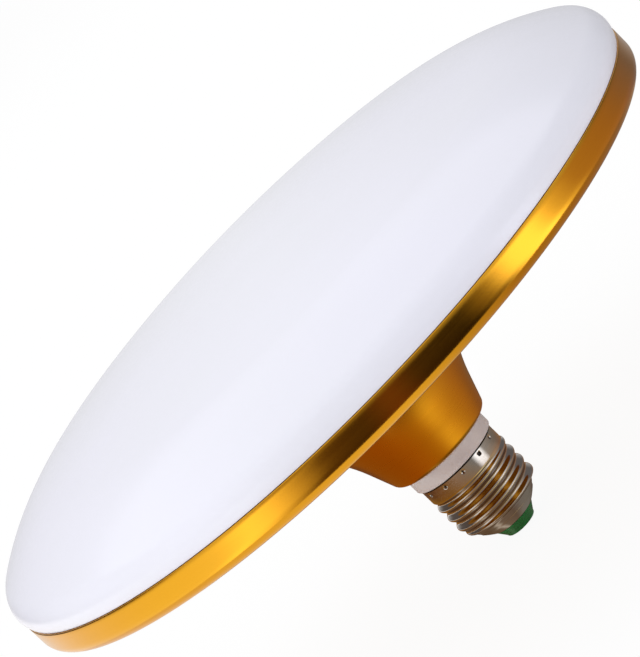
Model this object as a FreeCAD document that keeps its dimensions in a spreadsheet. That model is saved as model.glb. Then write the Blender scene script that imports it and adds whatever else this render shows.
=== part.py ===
import FreeCAD, Part
import math
import os
import Sketcher

# Screw-in disc lamp with an opal dome, a spun metal housing and an E27 cap.
# The lamp stands on its contact: Z runs along the axis from the tip up to the dome,
# and the origin is the tip of the centre contact. The side seen first is towards -Y.

FULL_TURN = 360.0
LEFT = "left"
RIGHT = "right"
FRONT = "front"
BACK = "back"
AXIS = "0"

# Driving sizes in millimetres and degrees
SIZES = [
    ("contact_proud", 0.4, "contact tip below the insulator's face"),
    ("contact_head_radius", 3.4, "head of the centre contact"),
    ("contact_head_height", 0.8, "head of the centre contact"),
    ("contact_shank_radius", 1.1, "shank of the centre contact"),
    ("contact_shank_reach", 0.3, "shank above the insulator"),
    ("insulator_foot_radius", 4.9, "lower end of the insulator cone"),
    ("insulator_edge_radius", 0.6, "rounding of the lower edge"),
    ("insulator_top_radius", 6.7, "upper end of the insulator cone"),
    ("insulator_cone_height", 3.35, "insulator cone seen below the metal"),
    ("insulator_neck_radius", 6.1, "insulator inside the hole of the cap"),
    ("insulator_flange_radius", 7.4, "flange inside the cap"),
    ("insulator_neck_height", 1.4, "insulator from the cone up to the flange"),
    ("insulator_flange_height", 1.4, "flange inside the cap"),
    ("fit_gap", 0.1, "clearance of parts that fit in each other"),
    ("cap_wall", 0.35, "sheet of the screw cap"),
    ("cap_hole_radius", 6.2, "hole of the cap for the insulator"),
    ("cap_lip_radius", 6.8, "lower end of the metal foot"),
    ("cap_waist_radius", 9.8, "narrow upright band of the foot"),
    ("cap_heel_radius", 10.85, "foot where the thread begins"),
    ("cap_shoulder_height", 2.55, "foot from the lip up to the band"),
    ("cap_waist_height", 0.3, "narrow upright band of the foot"),
    ("cap_heel_height", 1.2, "foot from the band up to the thread"),
    ("cap_shoulder_round", 24.0, "rounding from the lip up to the band"),
    ("cap_heel_round", 8.0, "rounding from the band up to the thread"),
    ("thread_pitch", 3.629, "pitch of the E27 thread"),
    ("thread_crest_radius", 13.1, "crest of the E27 thread"),
    ("thread_root_radius", 12.1, "root of the E27 thread"),
    ("thread_length", 14.6, "thread from the foot up to the skirt"),
    ("thread_taper", 1.7, "lower part where the thread's root narrows to the foot"),
    ("thread_fade", 1.8, "length over which the thread runs out"),
    ("thread_crest_drop", 1.55, "highest crest on the +X side below the thread's end"),
    ("thread_step", 0.03, "step where the thread meets the skirt and foot"),
    ("skirt_radius", 12.75, "plain skirt above the thread"),
    ("skirt_height", 4.5, "plain skirt above the thread"),
    ("skirt_wall", 0.5, "wall of the skirt"),
    ("dimple_radius", 0.55, "mouth of a staking dimple"),
    ("dimple_depth", 0.4, "depth of a staking dimple"),
    ("dimple_drop", 1.5, "dimples below the upper edge of the cap"),
    ("dimple_count", 12, "dimples round the skirt"),
    ("dimple_angle", 25.25, "direction of the first dimple"),
    ("sleeve_collar_radius", 13.5, "collar seen between cap and neck"),
    ("sleeve_collar_height", 4.85, "collar between cap and neck"),
    ("sleeve_collar_round", 0.35, "rounding of the collar's lower edge"),
    ("sleeve_gap", 0.3, "clearance of the sleeve in the cap and in the neck"),
    ("sleeve_foot_rise", 6.2, "lower end of the sleeve above the thread's lower end"),
    ("sleeve_foot_height", 1.0, "inward lip that carries the driver board"),
    ("sleeve_lip_radius", 8.4, "opening of the inward lip"),
    ("sleeve_bore_radius", 9.6, "bore of the sleeve"),
    ("sleeve_barrel_radius", 10.8, "barrel inside the neck"),
    ("sleeve_barrel_height", 12.7, "barrel above the collar"),
    ("rib_reach", 1.4, "guide rib from the bore inwards"),
    ("rib_root", 0.6, "guide rib let into the wall"),
    ("rib_width", 1.2, "width of a guide rib"),
    ("nut_side_count", 6, "sides of the lock nut"),
    ("nut_corner_radius", 14.3, "corner radius of the lock nut"),
    ("nut_height", 3.0, "height of the lock nut"),
    ("housing_wall", 1.0, "sheet of the housing"),
    ("neck_floor_round", 2.2, "outer rounding of the neck's lower end"),
    ("neck_angle", 19.2, "half angle of the neck's cone"),
    ("neck_join_radius", 19.2, "radius where the neck begins to flare"),
    ("flare_radius", 45.0, "radius of the flare under the pan"),
    ("pan_rise", 38.95, "underside of the pan above the neck's lower end"),
    ("band_corner_round", 4.0, "lower outer corner of the rim band"),
    ("rim_radius", 110.0, "outside of the rim band"),
    ("rim_height", 9.1, "rim band above the underside of the pan"),
    ("rim_edge_round", 0.3, "rounding of the rim's upper outer edge"),
    ("dome_overhang", 0.4, "widest line of the dome outside the rim band"),
    ("dome_cap_angle", 11.1, "half angle of the flat middle of the dome"),
    ("dome_shoulder_angle", 34.0, "tilt where the shoulder meets the edge"),
    ("dome_shoulder_radius", 73.0, "arc of the shoulder"),
    ("dome_edge_radius", 7.2, "arc from the shoulder to the widest line"),
    ("dome_widest_rise", 3.2, "widest line above the rim"),
    ("dome_lip_inset", 0.35, "lower outer edge of the dome inside the rim band"),
    ("dome_lip_round", 8.0, "rounding from the edge to the widest line"),
    ("dome_wall", 1.8, "wall of the dome"),
    ("dome_skirt_height", 4.6, "skirt of the dome inside the rim"),
    ("dome_skirt_wall", 1.5, "wall of the skirt"),
    ("dome_skirt_gap", 0.3, "clearance of the dome's skirt inside the rim band"),
    ("led_board_margin", 10.0, "edge of the light board inside the rim band"),
    ("led_board_thickness", 1.2, "board that carries the light sources"),
    ("led_board_hole_radius", 4.0, "hole for the leads"),
    ("led_length", 3.5, "light source along its ring"),
    ("led_width", 2.8, "light source across its ring"),
    ("led_height", 0.8, "light source above the board"),
    ("inner_ring_radius", 32.0, "inner ring of light sources"),
    ("inner_ring_count", 12, "light sources in the inner ring"),
    ("middle_ring_count", 20, "light sources in the middle ring"),
    ("outer_ring_inset", 14.0, "outer ring of light sources inside the board's edge"),
    ("outer_ring_count", 28, "light sources in the outer ring"),
    ("screw_count", 4, "board screws"),
    ("screw_radius", 1.45, "shank of a board screw"),
    ("screw_reach", 1.5, "screw end below the pan"),
    ("screw_head_radius", 2.8, "head of a board screw"),
    ("screw_head_height", 1.8, "head of a board screw"),
    ("header_distance", 9.9, "near face of the lead header from the axis"),
    ("header_length", 8.0, "lead header"),
    ("header_width", 6.0, "lead header"),
    ("header_height", 4.6, "lead header"),
    ("driver_board_width", 18.8, "driver board"),
    ("driver_board_thickness", 1.2, "driver board"),
    ("driver_board_height", 47.0, "driver board"),
    ("part_gap", 0.1, "clearance of the parts on the driver board"),
    ("fuse_radius", 1.6, "fusible resistor"),
    ("fuse_length", 8.0, "fusible resistor"),
    ("fuse_offset", -4.5, "fusible resistor across the board"),
    ("fuse_rise", 6.0, "fusible resistor above the board's lower edge"),
    ("bridge_width", 4.8, "bridge rectifier across the board"),
    ("bridge_thickness", 2.5, "bridge rectifier"),
    ("bridge_offset", 3.8, "bridge rectifier across the board"),
    ("bridge_rise", 7.0, "bridge rectifier above the board's lower edge"),
    ("input_can_radius", 4.0, "input capacitor"),
    ("input_can_length", 12.0, "input capacitor"),
    ("input_can_rise", 16.0, "input capacitor above the board's lower edge"),
    ("can_groove_depth", 0.35, "groove near the foot of a capacitor"),
    ("can_groove_height", 1.6, "groove above the foot of a capacitor"),
    ("output_can_radius", 3.2, "output capacitor"),
    ("output_can_length", 11.0, "output capacitor"),
    ("output_can_offset", -4.5, "output capacitor across the board"),
    ("output_can_rise", 31.0, "output capacitor above the board's lower edge"),
    ("film_width", 7.2, "film capacitor across the board"),
    ("film_thickness", 4.0, "film capacitor"),
    ("film_height", 8.0, "film capacitor"),
    ("film_offset", 4.6, "film capacitor across the board"),
    ("film_rise", 32.0, "film capacitor above the board's lower edge"),
    ("chip_width", 5.0, "driver chip across the board"),
    ("chip_thickness", 1.5, "driver chip"),
    ("chip_height", 4.0, "driver chip"),
    ("chip_offset", -3.5, "driver chip across the board"),
    ("chip_rise", 10.0, "driver chip above the board's lower edge"),
    ("diode_radius", 1.35, "output diode"),
    ("diode_length", 5.2, "output diode"),
    ("diode_offset", 3.0, "output diode across the board"),
    ("diode_rise", 19.0, "output diode above the board's lower edge"),
    ("core_width", 13.0, "inductor core across the board"),
    ("core_thickness", 6.0, "inductor core away from the board"),
    ("core_height", 12.0, "inductor core"),
    ("core_leg", 1.6, "outer legs and yokes of the core"),
    ("core_centre_leg", 3.2, "centre leg of the core"),
    ("core_rise", 31.0, "inductor core above the board's lower edge"),
    ("winding_reach", 1.6, "winding past the core, front and back"),
    ("lead_radius", 0.6, "insulated leads"),
    ("lead_gap", 0.15, "clearance of a lead's end and side"),
    ("lead_bend_share", 0.45, "share of the shorter run that a bend may take"),
    ("live_bend_drop", 0.5, "bend of the live lead below the sleeve"),
    ("live_end_rise", 4.6, "end of the live lead above the board's lower edge"),
    ("neutral_rise", 3.4, "neutral lead's end above the thread's lower end"),
    ("neutral_offset", 5.0, "neutral lead across the board"),
    ("neutral_end_rise", 4.0, "neutral lead's other end above the board's lower edge"),
    ("supply_offset", 2.0, "light leads across the board"),
    ("supply_spread", 1.3, "light leads beside each other in the hole"),
    ("supply_drop", 2.8, "start of the light leads below the board's upper edge"),
    ("supply_rise", 2.4, "light leads above the light board"),
]

# Sections of the thread for its lofted skin
SECTION_POINTS = 24
SECTIONS_PER_PITCH = 8

doc = FreeCAD.newDocument("disc_lamp")
sheet = doc.addObject("Spreadsheet::Sheet", "Sizes")
for row, (alias, size, note) in enumerate(SIZES, start=1):
    sheet.set("A%d" % row, alias)
    sheet.set("B%d" % row, str(size))
    sheet.setAlias("B%d" % row, alias)
    sheet.set("C%d" % row, note)
doc.recompute()

nodes = []


def cell(alias):
    """Expression that reads one size of the sheet."""
    return "Sizes." + alias


def number(expression):
    """Present value of an expression, in millimetres or degrees."""
    result = sheet.evalExpression(expression)
    return float(getattr(result, "Value", result))


def node(item):
    """Keeps a finished piece for the list of pieces that are written."""
    nodes.append(item)
    return item


def place(item, x="0", y="0", z="0"):
    """Binds the place of a piece to expressions."""
    item.setExpression(".Placement.Base.x", x)
    item.setExpression(".Placement.Base.y", y)
    item.setExpression(".Placement.Base.z", z)
    return item


def offset(item, x="0", y="0", z="0"):
    """Binds the place of a feature inside its body to expressions."""
    item.setExpression(".AttachmentOffset.Base.x", x)
    item.setExpression(".AttachmentOffset.Base.y", y)
    item.setExpression(".AttachmentOffset.Base.z", z)
    return item


def bind(item, **expressions):
    """Binds properties of an object to expressions."""
    for name, expression in expressions.items():
        item.setExpression(name, expression)
    return item


def origin_feature(body, role):
    """Plane or axis of a body's own origin."""
    return next(feature for feature in body.Origin.OriginFeatures if feature.Role == role)


# Outlines: each point is (radius, height) after a straight run, or
# (radius, height, arc radius, side of the arc's centre) after a round one.

def arc_middle(start, end, radius, side):
    """Point halfway along the short arc from start to end."""
    chord = end - start
    middle = (start + end) / 2
    across = FreeCAD.Vector(-chord.y, chord.x, 0).normalize()
    rise = math.sqrt(max(radius ** 2 - (chord.Length / 2) ** 2, 0)) - radius
    return middle + across * rise if side == LEFT else middle - across * rise


def hold_point(sketch, index, end, radius, height):
    """Holds one end of an edge at a radius and a height."""
    if radius == AXIS:
        sketch.addConstraint(Sketcher.Constraint("PointOnObject", index, end, -2))
    else:
        constraint = Sketcher.Constraint("DistanceX", -1, 1, index, end, number(radius))
        sketch.setExpression("Constraints[%d]" % sketch.addConstraint(constraint), radius)
    constraint = Sketcher.Constraint("DistanceY", -1, 1, index, end, number(height))
    sketch.setExpression("Constraints[%d]" % sketch.addConstraint(constraint), height)


def draw_outline(sketch, outline):
    """Draws a closed outline of straight and round runs into a sketch."""
    corners = [FreeCAD.Vector(number(point[0]), number(point[1]), 0) for point in outline]
    ends = []
    for index, start in enumerate(corners):
        following = (index + 1) % len(outline)
        target = outline[following]
        end = corners[following]
        if len(target) == 2:
            sketch.addGeometry(Part.LineSegment(start, end), False)
            ends.append((1, 2))
            continue
        radius, side = target[2], target[3]
        middle = arc_middle(start, end, number(radius), side)
        sketch.addGeometry(Part.Arc(start, middle, end), False)
        constraint = Sketcher.Constraint("Radius", index, number(radius))
        sketch.setExpression("Constraints[%d]" % sketch.addConstraint(constraint), radius)
        ends.append((1, 2) if side == LEFT else (2, 1))
    for index, (begin, finish) in enumerate(ends):
        following = (index + 1) % len(ends)
        joint = Sketcher.Constraint("Coincident", index, finish, following, ends[following][0])
        sketch.addConstraint(joint)
        hold_point(sketch, index, begin, outline[index][0], outline[index][1])


def turn_outline(body, outline):
    """Turns an outline in the body's XZ plane about the body's Z axis."""
    sketch = body.newObject("Sketcher::SketchObject", body.Name + "_outline")
    sketch.AttachmentSupport = [(origin_feature(body, "XZ_Plane"), "")]
    sketch.MapMode = "FlatFace"
    draw_outline(sketch, outline)
    turned = body.newObject("PartDesign::Revolution", body.Name + "_turned")
    turned.Profile = sketch
    turned.ReferenceAxis = (sketch, ["V_Axis"])
    turned.Angle = FULL_TURN
    doc.recompute()
    return turned


def turned_body(label, outline):
    """Body turned from one outline."""
    body = doc.addObject("PartDesign::Body", label)
    body.Label = label
    turn_outline(body, outline)
    return body


def feature(body, kind, name, **expressions):
    """Adds a primitive on the body's XY plane, with its sizes bound."""
    item = body.newObject("PartDesign::" + kind, name)
    item.AttachmentSupport = [(origin_feature(body, "XY_Plane"), "")]
    item.MapMode = "FlatFace"
    return bind(item, **expressions)


def ring_of(body, features, count):
    """Repeats features evenly round the body's Z axis."""
    doc.recompute()
    pattern = body.newObject("PartDesign::PolarPattern", body.Name + "_ring_" + features[0].Name)
    pattern.Originals = features
    pattern.Axis = (origin_feature(body, "Z_Axis"), [""])
    pattern.Angle = FULL_TURN
    bind(pattern, Occurrences=count)
    body.Tip = pattern
    doc.recompute()
    return pattern


def box(label, length, width, height):
    """Box with bound sizes."""
    item = doc.addObject("Part::Box", label)
    item.Label = label
    return bind(item, Length=length, Width=width, Height=height)


def cylinder(label, radius, height):
    """Upright cylinder with bound sizes."""
    item = doc.addObject("Part::Cylinder", label)
    item.Label = label
    return bind(item, Radius=radius, Height=height)


def cut(label, base, tool):
    """One piece cut by another."""
    item = doc.addObject("Part::Cut", label)
    item.Label = label
    item.Base = base
    item.Tool = tool
    return item


def fuse(label, items):
    """Several solids joined to one."""
    item = doc.addObject("Part::MultiFuse", label)
    item.Label = label
    item.Shapes = items
    item.Refine = False
    return item


# Heights that several pieces share, stacked from the tip up
SHELL_WALL = cell("housing_wall")
INSULATOR_FOOT = cell("contact_proud")
INSULATOR_SHOULDER = "Sizes.contact_proud + Sizes.insulator_cone_height"
FLANGE_BASE = INSULATOR_SHOULDER + " + Sizes.insulator_neck_height"
INSULATOR_TOP = FLANGE_BASE + " + Sizes.insulator_flange_height"
SHANK_END = INSULATOR_TOP + " + Sizes.contact_shank_reach"
WAIST_BASE = INSULATOR_SHOULDER + " + Sizes.cap_shoulder_height"
WAIST_TOP = WAIST_BASE + " + Sizes.cap_waist_height"
THREAD_START = WAIST_TOP + " + Sizes.cap_heel_height"
THREAD_END = THREAD_START + " + Sizes.thread_length"
CAP_TOP = THREAD_END + " + Sizes.skirt_height"
NECK_FLOOR = CAP_TOP + " + Sizes.sleeve_collar_height"
PAN_BASE = NECK_FLOOR + " + Sizes.pan_rise"
PAN_FLOOR = PAN_BASE + " + Sizes.housing_wall"
RIM_TOP = PAN_BASE + " + Sizes.rim_height"
LED_BOARD_TOP = PAN_FLOOR + " + Sizes.led_board_thickness"
SCREW_END = PAN_BASE + " - Sizes.screw_reach"
SCREW_LENGTH = "Sizes.screw_reach + Sizes.housing_wall + Sizes.led_board_thickness"
SLEEVE_FOOT = THREAD_START + " + Sizes.sleeve_foot_rise"
BOARD_FOOT = SLEEVE_FOOT + " + Sizes.sleeve_foot_height"
BOARD_TOP = BOARD_FOOT + " + Sizes.driver_board_height"
BOARD_FACE = "(Sizes.driver_board_thickness / 2 + Sizes.part_gap)"
LEAD_FACE = "(Sizes.driver_board_thickness / 2 + Sizes.lead_gap + Sizes.lead_radius)"

# Radii that several pieces share
HEEL_BORE = "Sizes.cap_heel_radius - Sizes.cap_wall"
THREAD_BORE = "Sizes.thread_root_radius - Sizes.cap_wall"
SKIRT_BORE = "Sizes.skirt_radius - Sizes.skirt_wall"
NECK_OPENING = "Sizes.sleeve_barrel_radius + Sizes.sleeve_gap"
RIM_INSIDE = "Sizes.rim_radius - Sizes.housing_wall"
DOME_RADIUS = "(Sizes.rim_radius + Sizes.dome_overhang)"
LED_BOARD_RADIUS = "Sizes.rim_radius - Sizes.led_board_margin"
INNER_RING = cell("inner_ring_radius")
OUTER_RING = LED_BOARD_RADIUS + " - Sizes.outer_ring_inset"
MIDDLE_RING = "(" + INNER_RING + " + " + OUTER_RING + ") / 2"
SCREW_CIRCLE = "(" + MIDDLE_RING + " + " + OUTER_RING + ") / 2"


# Centre contact: a rivet through the insulator
def build_contact():
    head = cell("contact_head_radius")
    shank = cell("contact_shank_radius")
    seat = cell("contact_proud")
    crown = "Sizes.contact_head_radius - Sizes.contact_proud"
    node(turned_body("centre_contact", [
        (AXIS, "0"),
        (crown, "0"),
        (head, seat, seat, LEFT),
        (head, cell("contact_head_height")),
        (shank, cell("contact_head_height")),
        (shank, SHANK_END),
        (AXIS, SHANK_END),
    ]))


# Insulator: the cone below the cap, with a flange inside the cap
def build_insulator():
    edge = cell("insulator_edge_radius")
    foot = cell("insulator_foot_radius")
    pocket = "Sizes.contact_head_radius + Sizes.fit_gap"
    hole = "Sizes.contact_shank_radius + Sizes.fit_gap"
    node(turned_body("cap_insulator", [
        (pocket, INSULATOR_FOOT),
        (foot + " - " + edge, INSULATOR_FOOT),
        (foot, INSULATOR_FOOT + " + " + edge, edge, LEFT),
        (cell("insulator_top_radius"), INSULATOR_SHOULDER),
        (cell("insulator_neck_radius"), INSULATOR_SHOULDER),
        (cell("insulator_neck_radius"), FLANGE_BASE),
        (cell("insulator_flange_radius"), FLANGE_BASE),
        (cell("insulator_flange_radius"), INSULATOR_TOP),
        (hole, INSULATOR_TOP),
        (hole, cell("contact_head_height")),
        (pocket, cell("contact_head_height")),
    ]))


# Screw cap: rolled sheet with skirt, thread and stepped foot
def smooth(share):
    """Rises softly from 0 to 1 while the share does."""
    share = min(max(share, 0), 1)
    return share * share * (3 - 2 * share)


def thread_radius(height, turn):
    """Outer radius of the thread at a height and a share of a turn from +X."""
    fade = number(cell("thread_fade"))
    start = number(THREAD_START)
    end = number(THREAD_END)
    root = number(cell("thread_root_radius"))
    depth = number(cell("thread_crest_radius")) - root
    skirt = number(cell("skirt_radius")) - number(cell("thread_step"))
    crest = end - number(cell("thread_crest_drop"))
    from_start = smooth((height - start) / fade)
    to_end = smooth((end - height) / fade)
    phase = (height - crest) / number(cell("thread_pitch")) - turn
    ridge = (1 + math.cos(math.tau * phase)) / 2
    narrow = max(number(cell("thread_taper")) + start - height, 0) / number(cell("thread_taper"))
    base = root - (root - number(cell("cap_heel_radius"))) * narrow
    return skirt + (base - skirt) * to_end + depth * ridge * from_start * to_end


def thread_section(height):
    """Closed smooth section of the thread at a height."""
    points = []
    for index in range(SECTION_POINTS):
        turn = index / SECTION_POINTS
        radius = thread_radius(height, turn)
        angle = math.tau * turn
        points.append(FreeCAD.Vector(radius * math.cos(angle), radius * math.sin(angle), height))
    curve = Part.BSplineCurve()
    curve.interpolate(Points=points, PeriodicFlag=True)
    return Part.Wire([curve.toShape()])


def build_cap():
    start = number(THREAD_START)
    end = number(THREAD_END)
    pitches = (end - start) / number(cell("thread_pitch"))
    sections = int(math.ceil(pitches * SECTIONS_PER_PITCH))
    heights = [start + (end - start) * index / sections for index in range(sections + 1)]
    skin = Part.makeLoft([thread_section(height) for height in heights], True, True)
    taper = number(cell("thread_taper"))
    throat = Part.makeCone(number(HEEL_BORE), number(THREAD_BORE), taper, FreeCAD.Vector(0, 0, start))
    bore = Part.makeCylinder(number(THREAD_BORE), end - start - taper, FreeCAD.Vector(0, 0, start + taper))
    thread = doc.addObject("Part::Feature", "cap_thread")
    thread.Shape = skin.cut(throat.fuse(bore))

    skirt = turned_body("cap_skirt", [
        (SKIRT_BORE, THREAD_END),
        (cell("skirt_radius"), THREAD_END),
        (cell("skirt_radius"), CAP_TOP),
        (SKIRT_BORE, CAP_TOP),
    ])
    dimple = feature(skirt, "SubtractiveCone", "dimple", Radius1="2 * Sizes.dimple_radius",
                     Radius2="0", Height="2 * Sizes.dimple_depth")
    inward = FreeCAD.Rotation(FreeCAD.Vector(0, 0, 1), FreeCAD.Vector(-1, 0, 0))
    dimple.AttachmentOffset = FreeCAD.Placement(FreeCAD.Vector(), inward)
    offset(dimple, x="Sizes.skirt_radius + Sizes.dimple_depth", z=CAP_TOP + " - Sizes.dimple_drop")
    ring_of(skirt, [dimple], cell("dimple_count"))
    turn = FreeCAD.Rotation(FreeCAD.Vector(0, 0, 1), number(cell("dimple_angle")))
    skirt.Placement = FreeCAD.Placement(FreeCAD.Vector(), turn)
    skirt.setExpression(".Placement.Rotation.Angle", cell("dimple_angle"))

    wall = cell("cap_wall")
    heel = "Sizes.cap_heel_radius - Sizes.thread_step"
    foot = turned_body("cap_foot", [
        (cell("cap_hole_radius"), INSULATOR_SHOULDER),
        (cell("cap_lip_radius"), INSULATOR_SHOULDER),
        (cell("cap_waist_radius"), WAIST_BASE, cell("cap_shoulder_round"), LEFT),
        (cell("cap_waist_radius"), WAIST_TOP),
        (heel, THREAD_START, cell("cap_heel_round"), LEFT),
        (HEEL_BORE, THREAD_START),
        ("Sizes.cap_waist_radius - " + wall, WAIST_TOP, "Sizes.cap_heel_round - " + wall, RIGHT),
        ("Sizes.cap_waist_radius - " + wall, WAIST_BASE),
        (cell("cap_lip_radius"), INSULATOR_SHOULDER + " + " + wall,
         "Sizes.cap_shoulder_round - " + wall, RIGHT),
        (cell("cap_hole_radius"), INSULATOR_SHOULDER + " + " + wall),
    ])
    node(fuse("screw_cap", [thread, skirt, foot]))


# Sleeve: the light collar, its spigot in the cap and its barrel in the neck
def build_sleeve():
    collar = cell("sleeve_collar_radius")
    rounding = cell("sleeve_collar_round")
    spigot = SKIRT_BORE + " - Sizes.sleeve_gap"
    tail = THREAD_BORE + " - Sizes.sleeve_gap"
    step = THREAD_END + " + Sizes.sleeve_gap"
    top = NECK_FLOOR + " + Sizes.sleeve_barrel_height"
    barrel = cell("sleeve_barrel_radius")
    bore = cell("sleeve_bore_radius")
    sleeve = turned_body("sleeve", [
        (cell("sleeve_lip_radius"), SLEEVE_FOOT),
        (tail, SLEEVE_FOOT),
        (tail, step),
        (spigot, step),
        (spigot, CAP_TOP),
        (collar + " - " + rounding, CAP_TOP),
        (collar, CAP_TOP + " + " + rounding, rounding, LEFT),
        (collar, NECK_FLOOR),
        (barrel, NECK_FLOOR),
        (barrel, top),
        (bore, top),
        (bore, BOARD_FOOT),
        (cell("sleeve_lip_radius"), BOARD_FOOT),
    ])
    rib_face = "Sizes.driver_board_thickness / 2 + Sizes.fit_gap"
    reach = "(Sizes.rib_reach + Sizes.rib_root)"
    inner_end = "Sizes.sleeve_bore_radius - Sizes.rib_reach"
    for name, x, y in (
        ("rib_right_back", inner_end, rib_face),
        ("rib_right_front", inner_end, "-(" + rib_face + ") - Sizes.rib_width"),
        ("rib_left_back", "-(" + inner_end + ") - " + reach, rib_face),
        ("rib_left_front", "-(" + inner_end + ") - " + reach, "-(" + rib_face + ") - Sizes.rib_width"),
    ):
        rib = feature(sleeve, "AdditiveBox", name, Length=reach, Width=cell("rib_width"),
                      Height=top + " - (" + BOARD_FOOT + ")")
        offset(rib, x=x, y=y, z=BOARD_FOOT)
        doc.recompute()
    node(sleeve)


# Lock nut: clamps the neck's floor against the collar
def build_nut():
    blank = doc.addObject("Part::Prism", "nut_blank")
    bind(blank, Polygon=cell("nut_side_count"), Circumradius=cell("nut_corner_radius"),
         Height=cell("nut_height"))
    thread = cylinder("nut_bore", "Sizes.sleeve_barrel_radius + Sizes.fit_gap", cell("nut_height"))
    seat = NECK_FLOOR + " + Sizes.housing_wall"
    node(cut("lock_nut", place(blank, z=seat), place(thread, z=seat)))


# Housing: neck, flare, pan and rim band spun from one sheet
def build_housing():
    sine = "sin(Sizes.neck_angle)"
    cosine = "cos(Sizes.neck_angle)"
    flare = cell("flare_radius")
    flare_centre = "(Sizes.neck_join_radius + " + flare + " * " + cosine + ")"
    join_height = "(" + PAN_BASE + " - " + flare + " * (1 - " + sine + "))"
    floor_round = cell("neck_floor_round")
    round_centre = ("((Sizes.neck_join_radius * " + cosine + " - " + join_height + " * " + sine + " - "
                    + floor_round + " + (" + NECK_FLOOR + " + " + floor_round + ") * " + sine + ") / "
                    + cosine + ")")
    inner_round = "(" + floor_round + " - " + SHELL_WALL + ")"
    band_round = cell("band_corner_round")
    edge_round = cell("rim_edge_round")
    housing = turned_body("housing", [
        (NECK_OPENING, NECK_FLOOR),
        (round_centre, NECK_FLOOR),
        (round_centre + " + " + floor_round + " * " + cosine,
         NECK_FLOOR + " + " + floor_round + " * (1 - " + sine + ")", floor_round, LEFT),
        (cell("neck_join_radius"), join_height),
        (flare_centre, PAN_BASE, flare, RIGHT),
        ("Sizes.rim_radius - " + band_round, PAN_BASE),
        (cell("rim_radius"), PAN_BASE + " + " + band_round, band_round, LEFT),
        (cell("rim_radius"), RIM_TOP + " - " + edge_round),
        ("Sizes.rim_radius - " + edge_round, RIM_TOP, edge_round, LEFT),
        (RIM_INSIDE, RIM_TOP),
        (RIM_INSIDE, PAN_BASE + " + " + band_round),
        ("Sizes.rim_radius - " + band_round, PAN_FLOOR, band_round + " - " + SHELL_WALL, RIGHT),
        (flare_centre, PAN_FLOOR),
        ("Sizes.neck_join_radius - " + SHELL_WALL + " * " + cosine,
         join_height + " + " + SHELL_WALL + " * " + sine, flare + " + " + SHELL_WALL, LEFT),
        (round_centre + " + " + inner_round + " * " + cosine,
         NECK_FLOOR + " + " + floor_round + " - " + inner_round + " * " + sine),
        (round_centre, NECK_FLOOR + " + " + SHELL_WALL, inner_round, RIGHT),
        (NECK_OPENING, NECK_FLOOR + " + " + SHELL_WALL),
    ])
    hole = feature(housing, "SubtractiveCylinder", "screw_hole",
                   Radius="Sizes.screw_radius + Sizes.fit_gap / 2", Height=SCREW_LENGTH)
    offset(hole, x=SCREW_CIRCLE, z=SCREW_END)
    ring_of(housing, [hole], cell("screw_count"))
    node(housing)


# Dome: an opal shell of three tangent arcs with a lip and a skirt inside the rim
def build_diffuser():
    wall = cell("dome_wall")
    edge = cell("dome_edge_radius")
    shoulder = cell("dome_shoulder_radius")
    cap_sine = "sin(Sizes.dome_cap_angle)"
    cap_cosine = "cos(Sizes.dome_cap_angle)"
    edge_sine = "sin(Sizes.dome_shoulder_angle)"
    edge_cosine = "cos(Sizes.dome_shoulder_angle)"
    widest = "(" + RIM_TOP + " + Sizes.dome_widest_rise)"
    edge_end = "(" + DOME_RADIUS + " - " + edge + " * (1 - " + edge_sine + "))"
    edge_height = "(" + widest + " + " + edge + " * " + edge_cosine + ")"
    cap_end = "(" + edge_end + " - " + shoulder + " * (" + edge_sine + " - " + cap_sine + "))"
    cap_height = "(" + edge_height + " + " + shoulder + " * (" + cap_cosine + " - " + edge_cosine + "))"
    cap_radius = "(" + cap_end + " / " + cap_sine + ")"
    top = "(" + cap_height + " + " + cap_radius + " * (1 - " + cap_cosine + "))"
    skirt = RIM_INSIDE + " - Sizes.dome_skirt_gap"
    skirt_inside = skirt + " - Sizes.dome_skirt_wall"
    skirt_foot = RIM_TOP + " - Sizes.dome_skirt_height"
    node(turned_body("diffuser", [
        (skirt_inside, skirt_foot),
        (skirt, skirt_foot),
        (skirt, RIM_TOP),
        ("Sizes.rim_radius - Sizes.dome_lip_inset", RIM_TOP),
        (DOME_RADIUS, widest, cell("dome_lip_round"), LEFT),
        (edge_end, edge_height, edge, LEFT),
        (cap_end, cap_height, shoulder, LEFT),
        (AXIS, top, cap_radius, LEFT),
        (AXIS, top + " - " + wall),
        (cap_end + " - " + wall + " * " + cap_sine, cap_height + " - " + wall + " * " + cap_cosine,
         cap_radius + " - " + wall, RIGHT),
        (edge_end + " - " + wall + " * " + edge_sine, edge_height + " - " + wall + " * " + edge_cosine,
         shoulder + " - " + wall, RIGHT),
        (DOME_RADIUS + " - " + wall, widest, edge + " - " + wall, RIGHT),
        (skirt_inside, RIM_TOP),
    ]))


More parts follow.
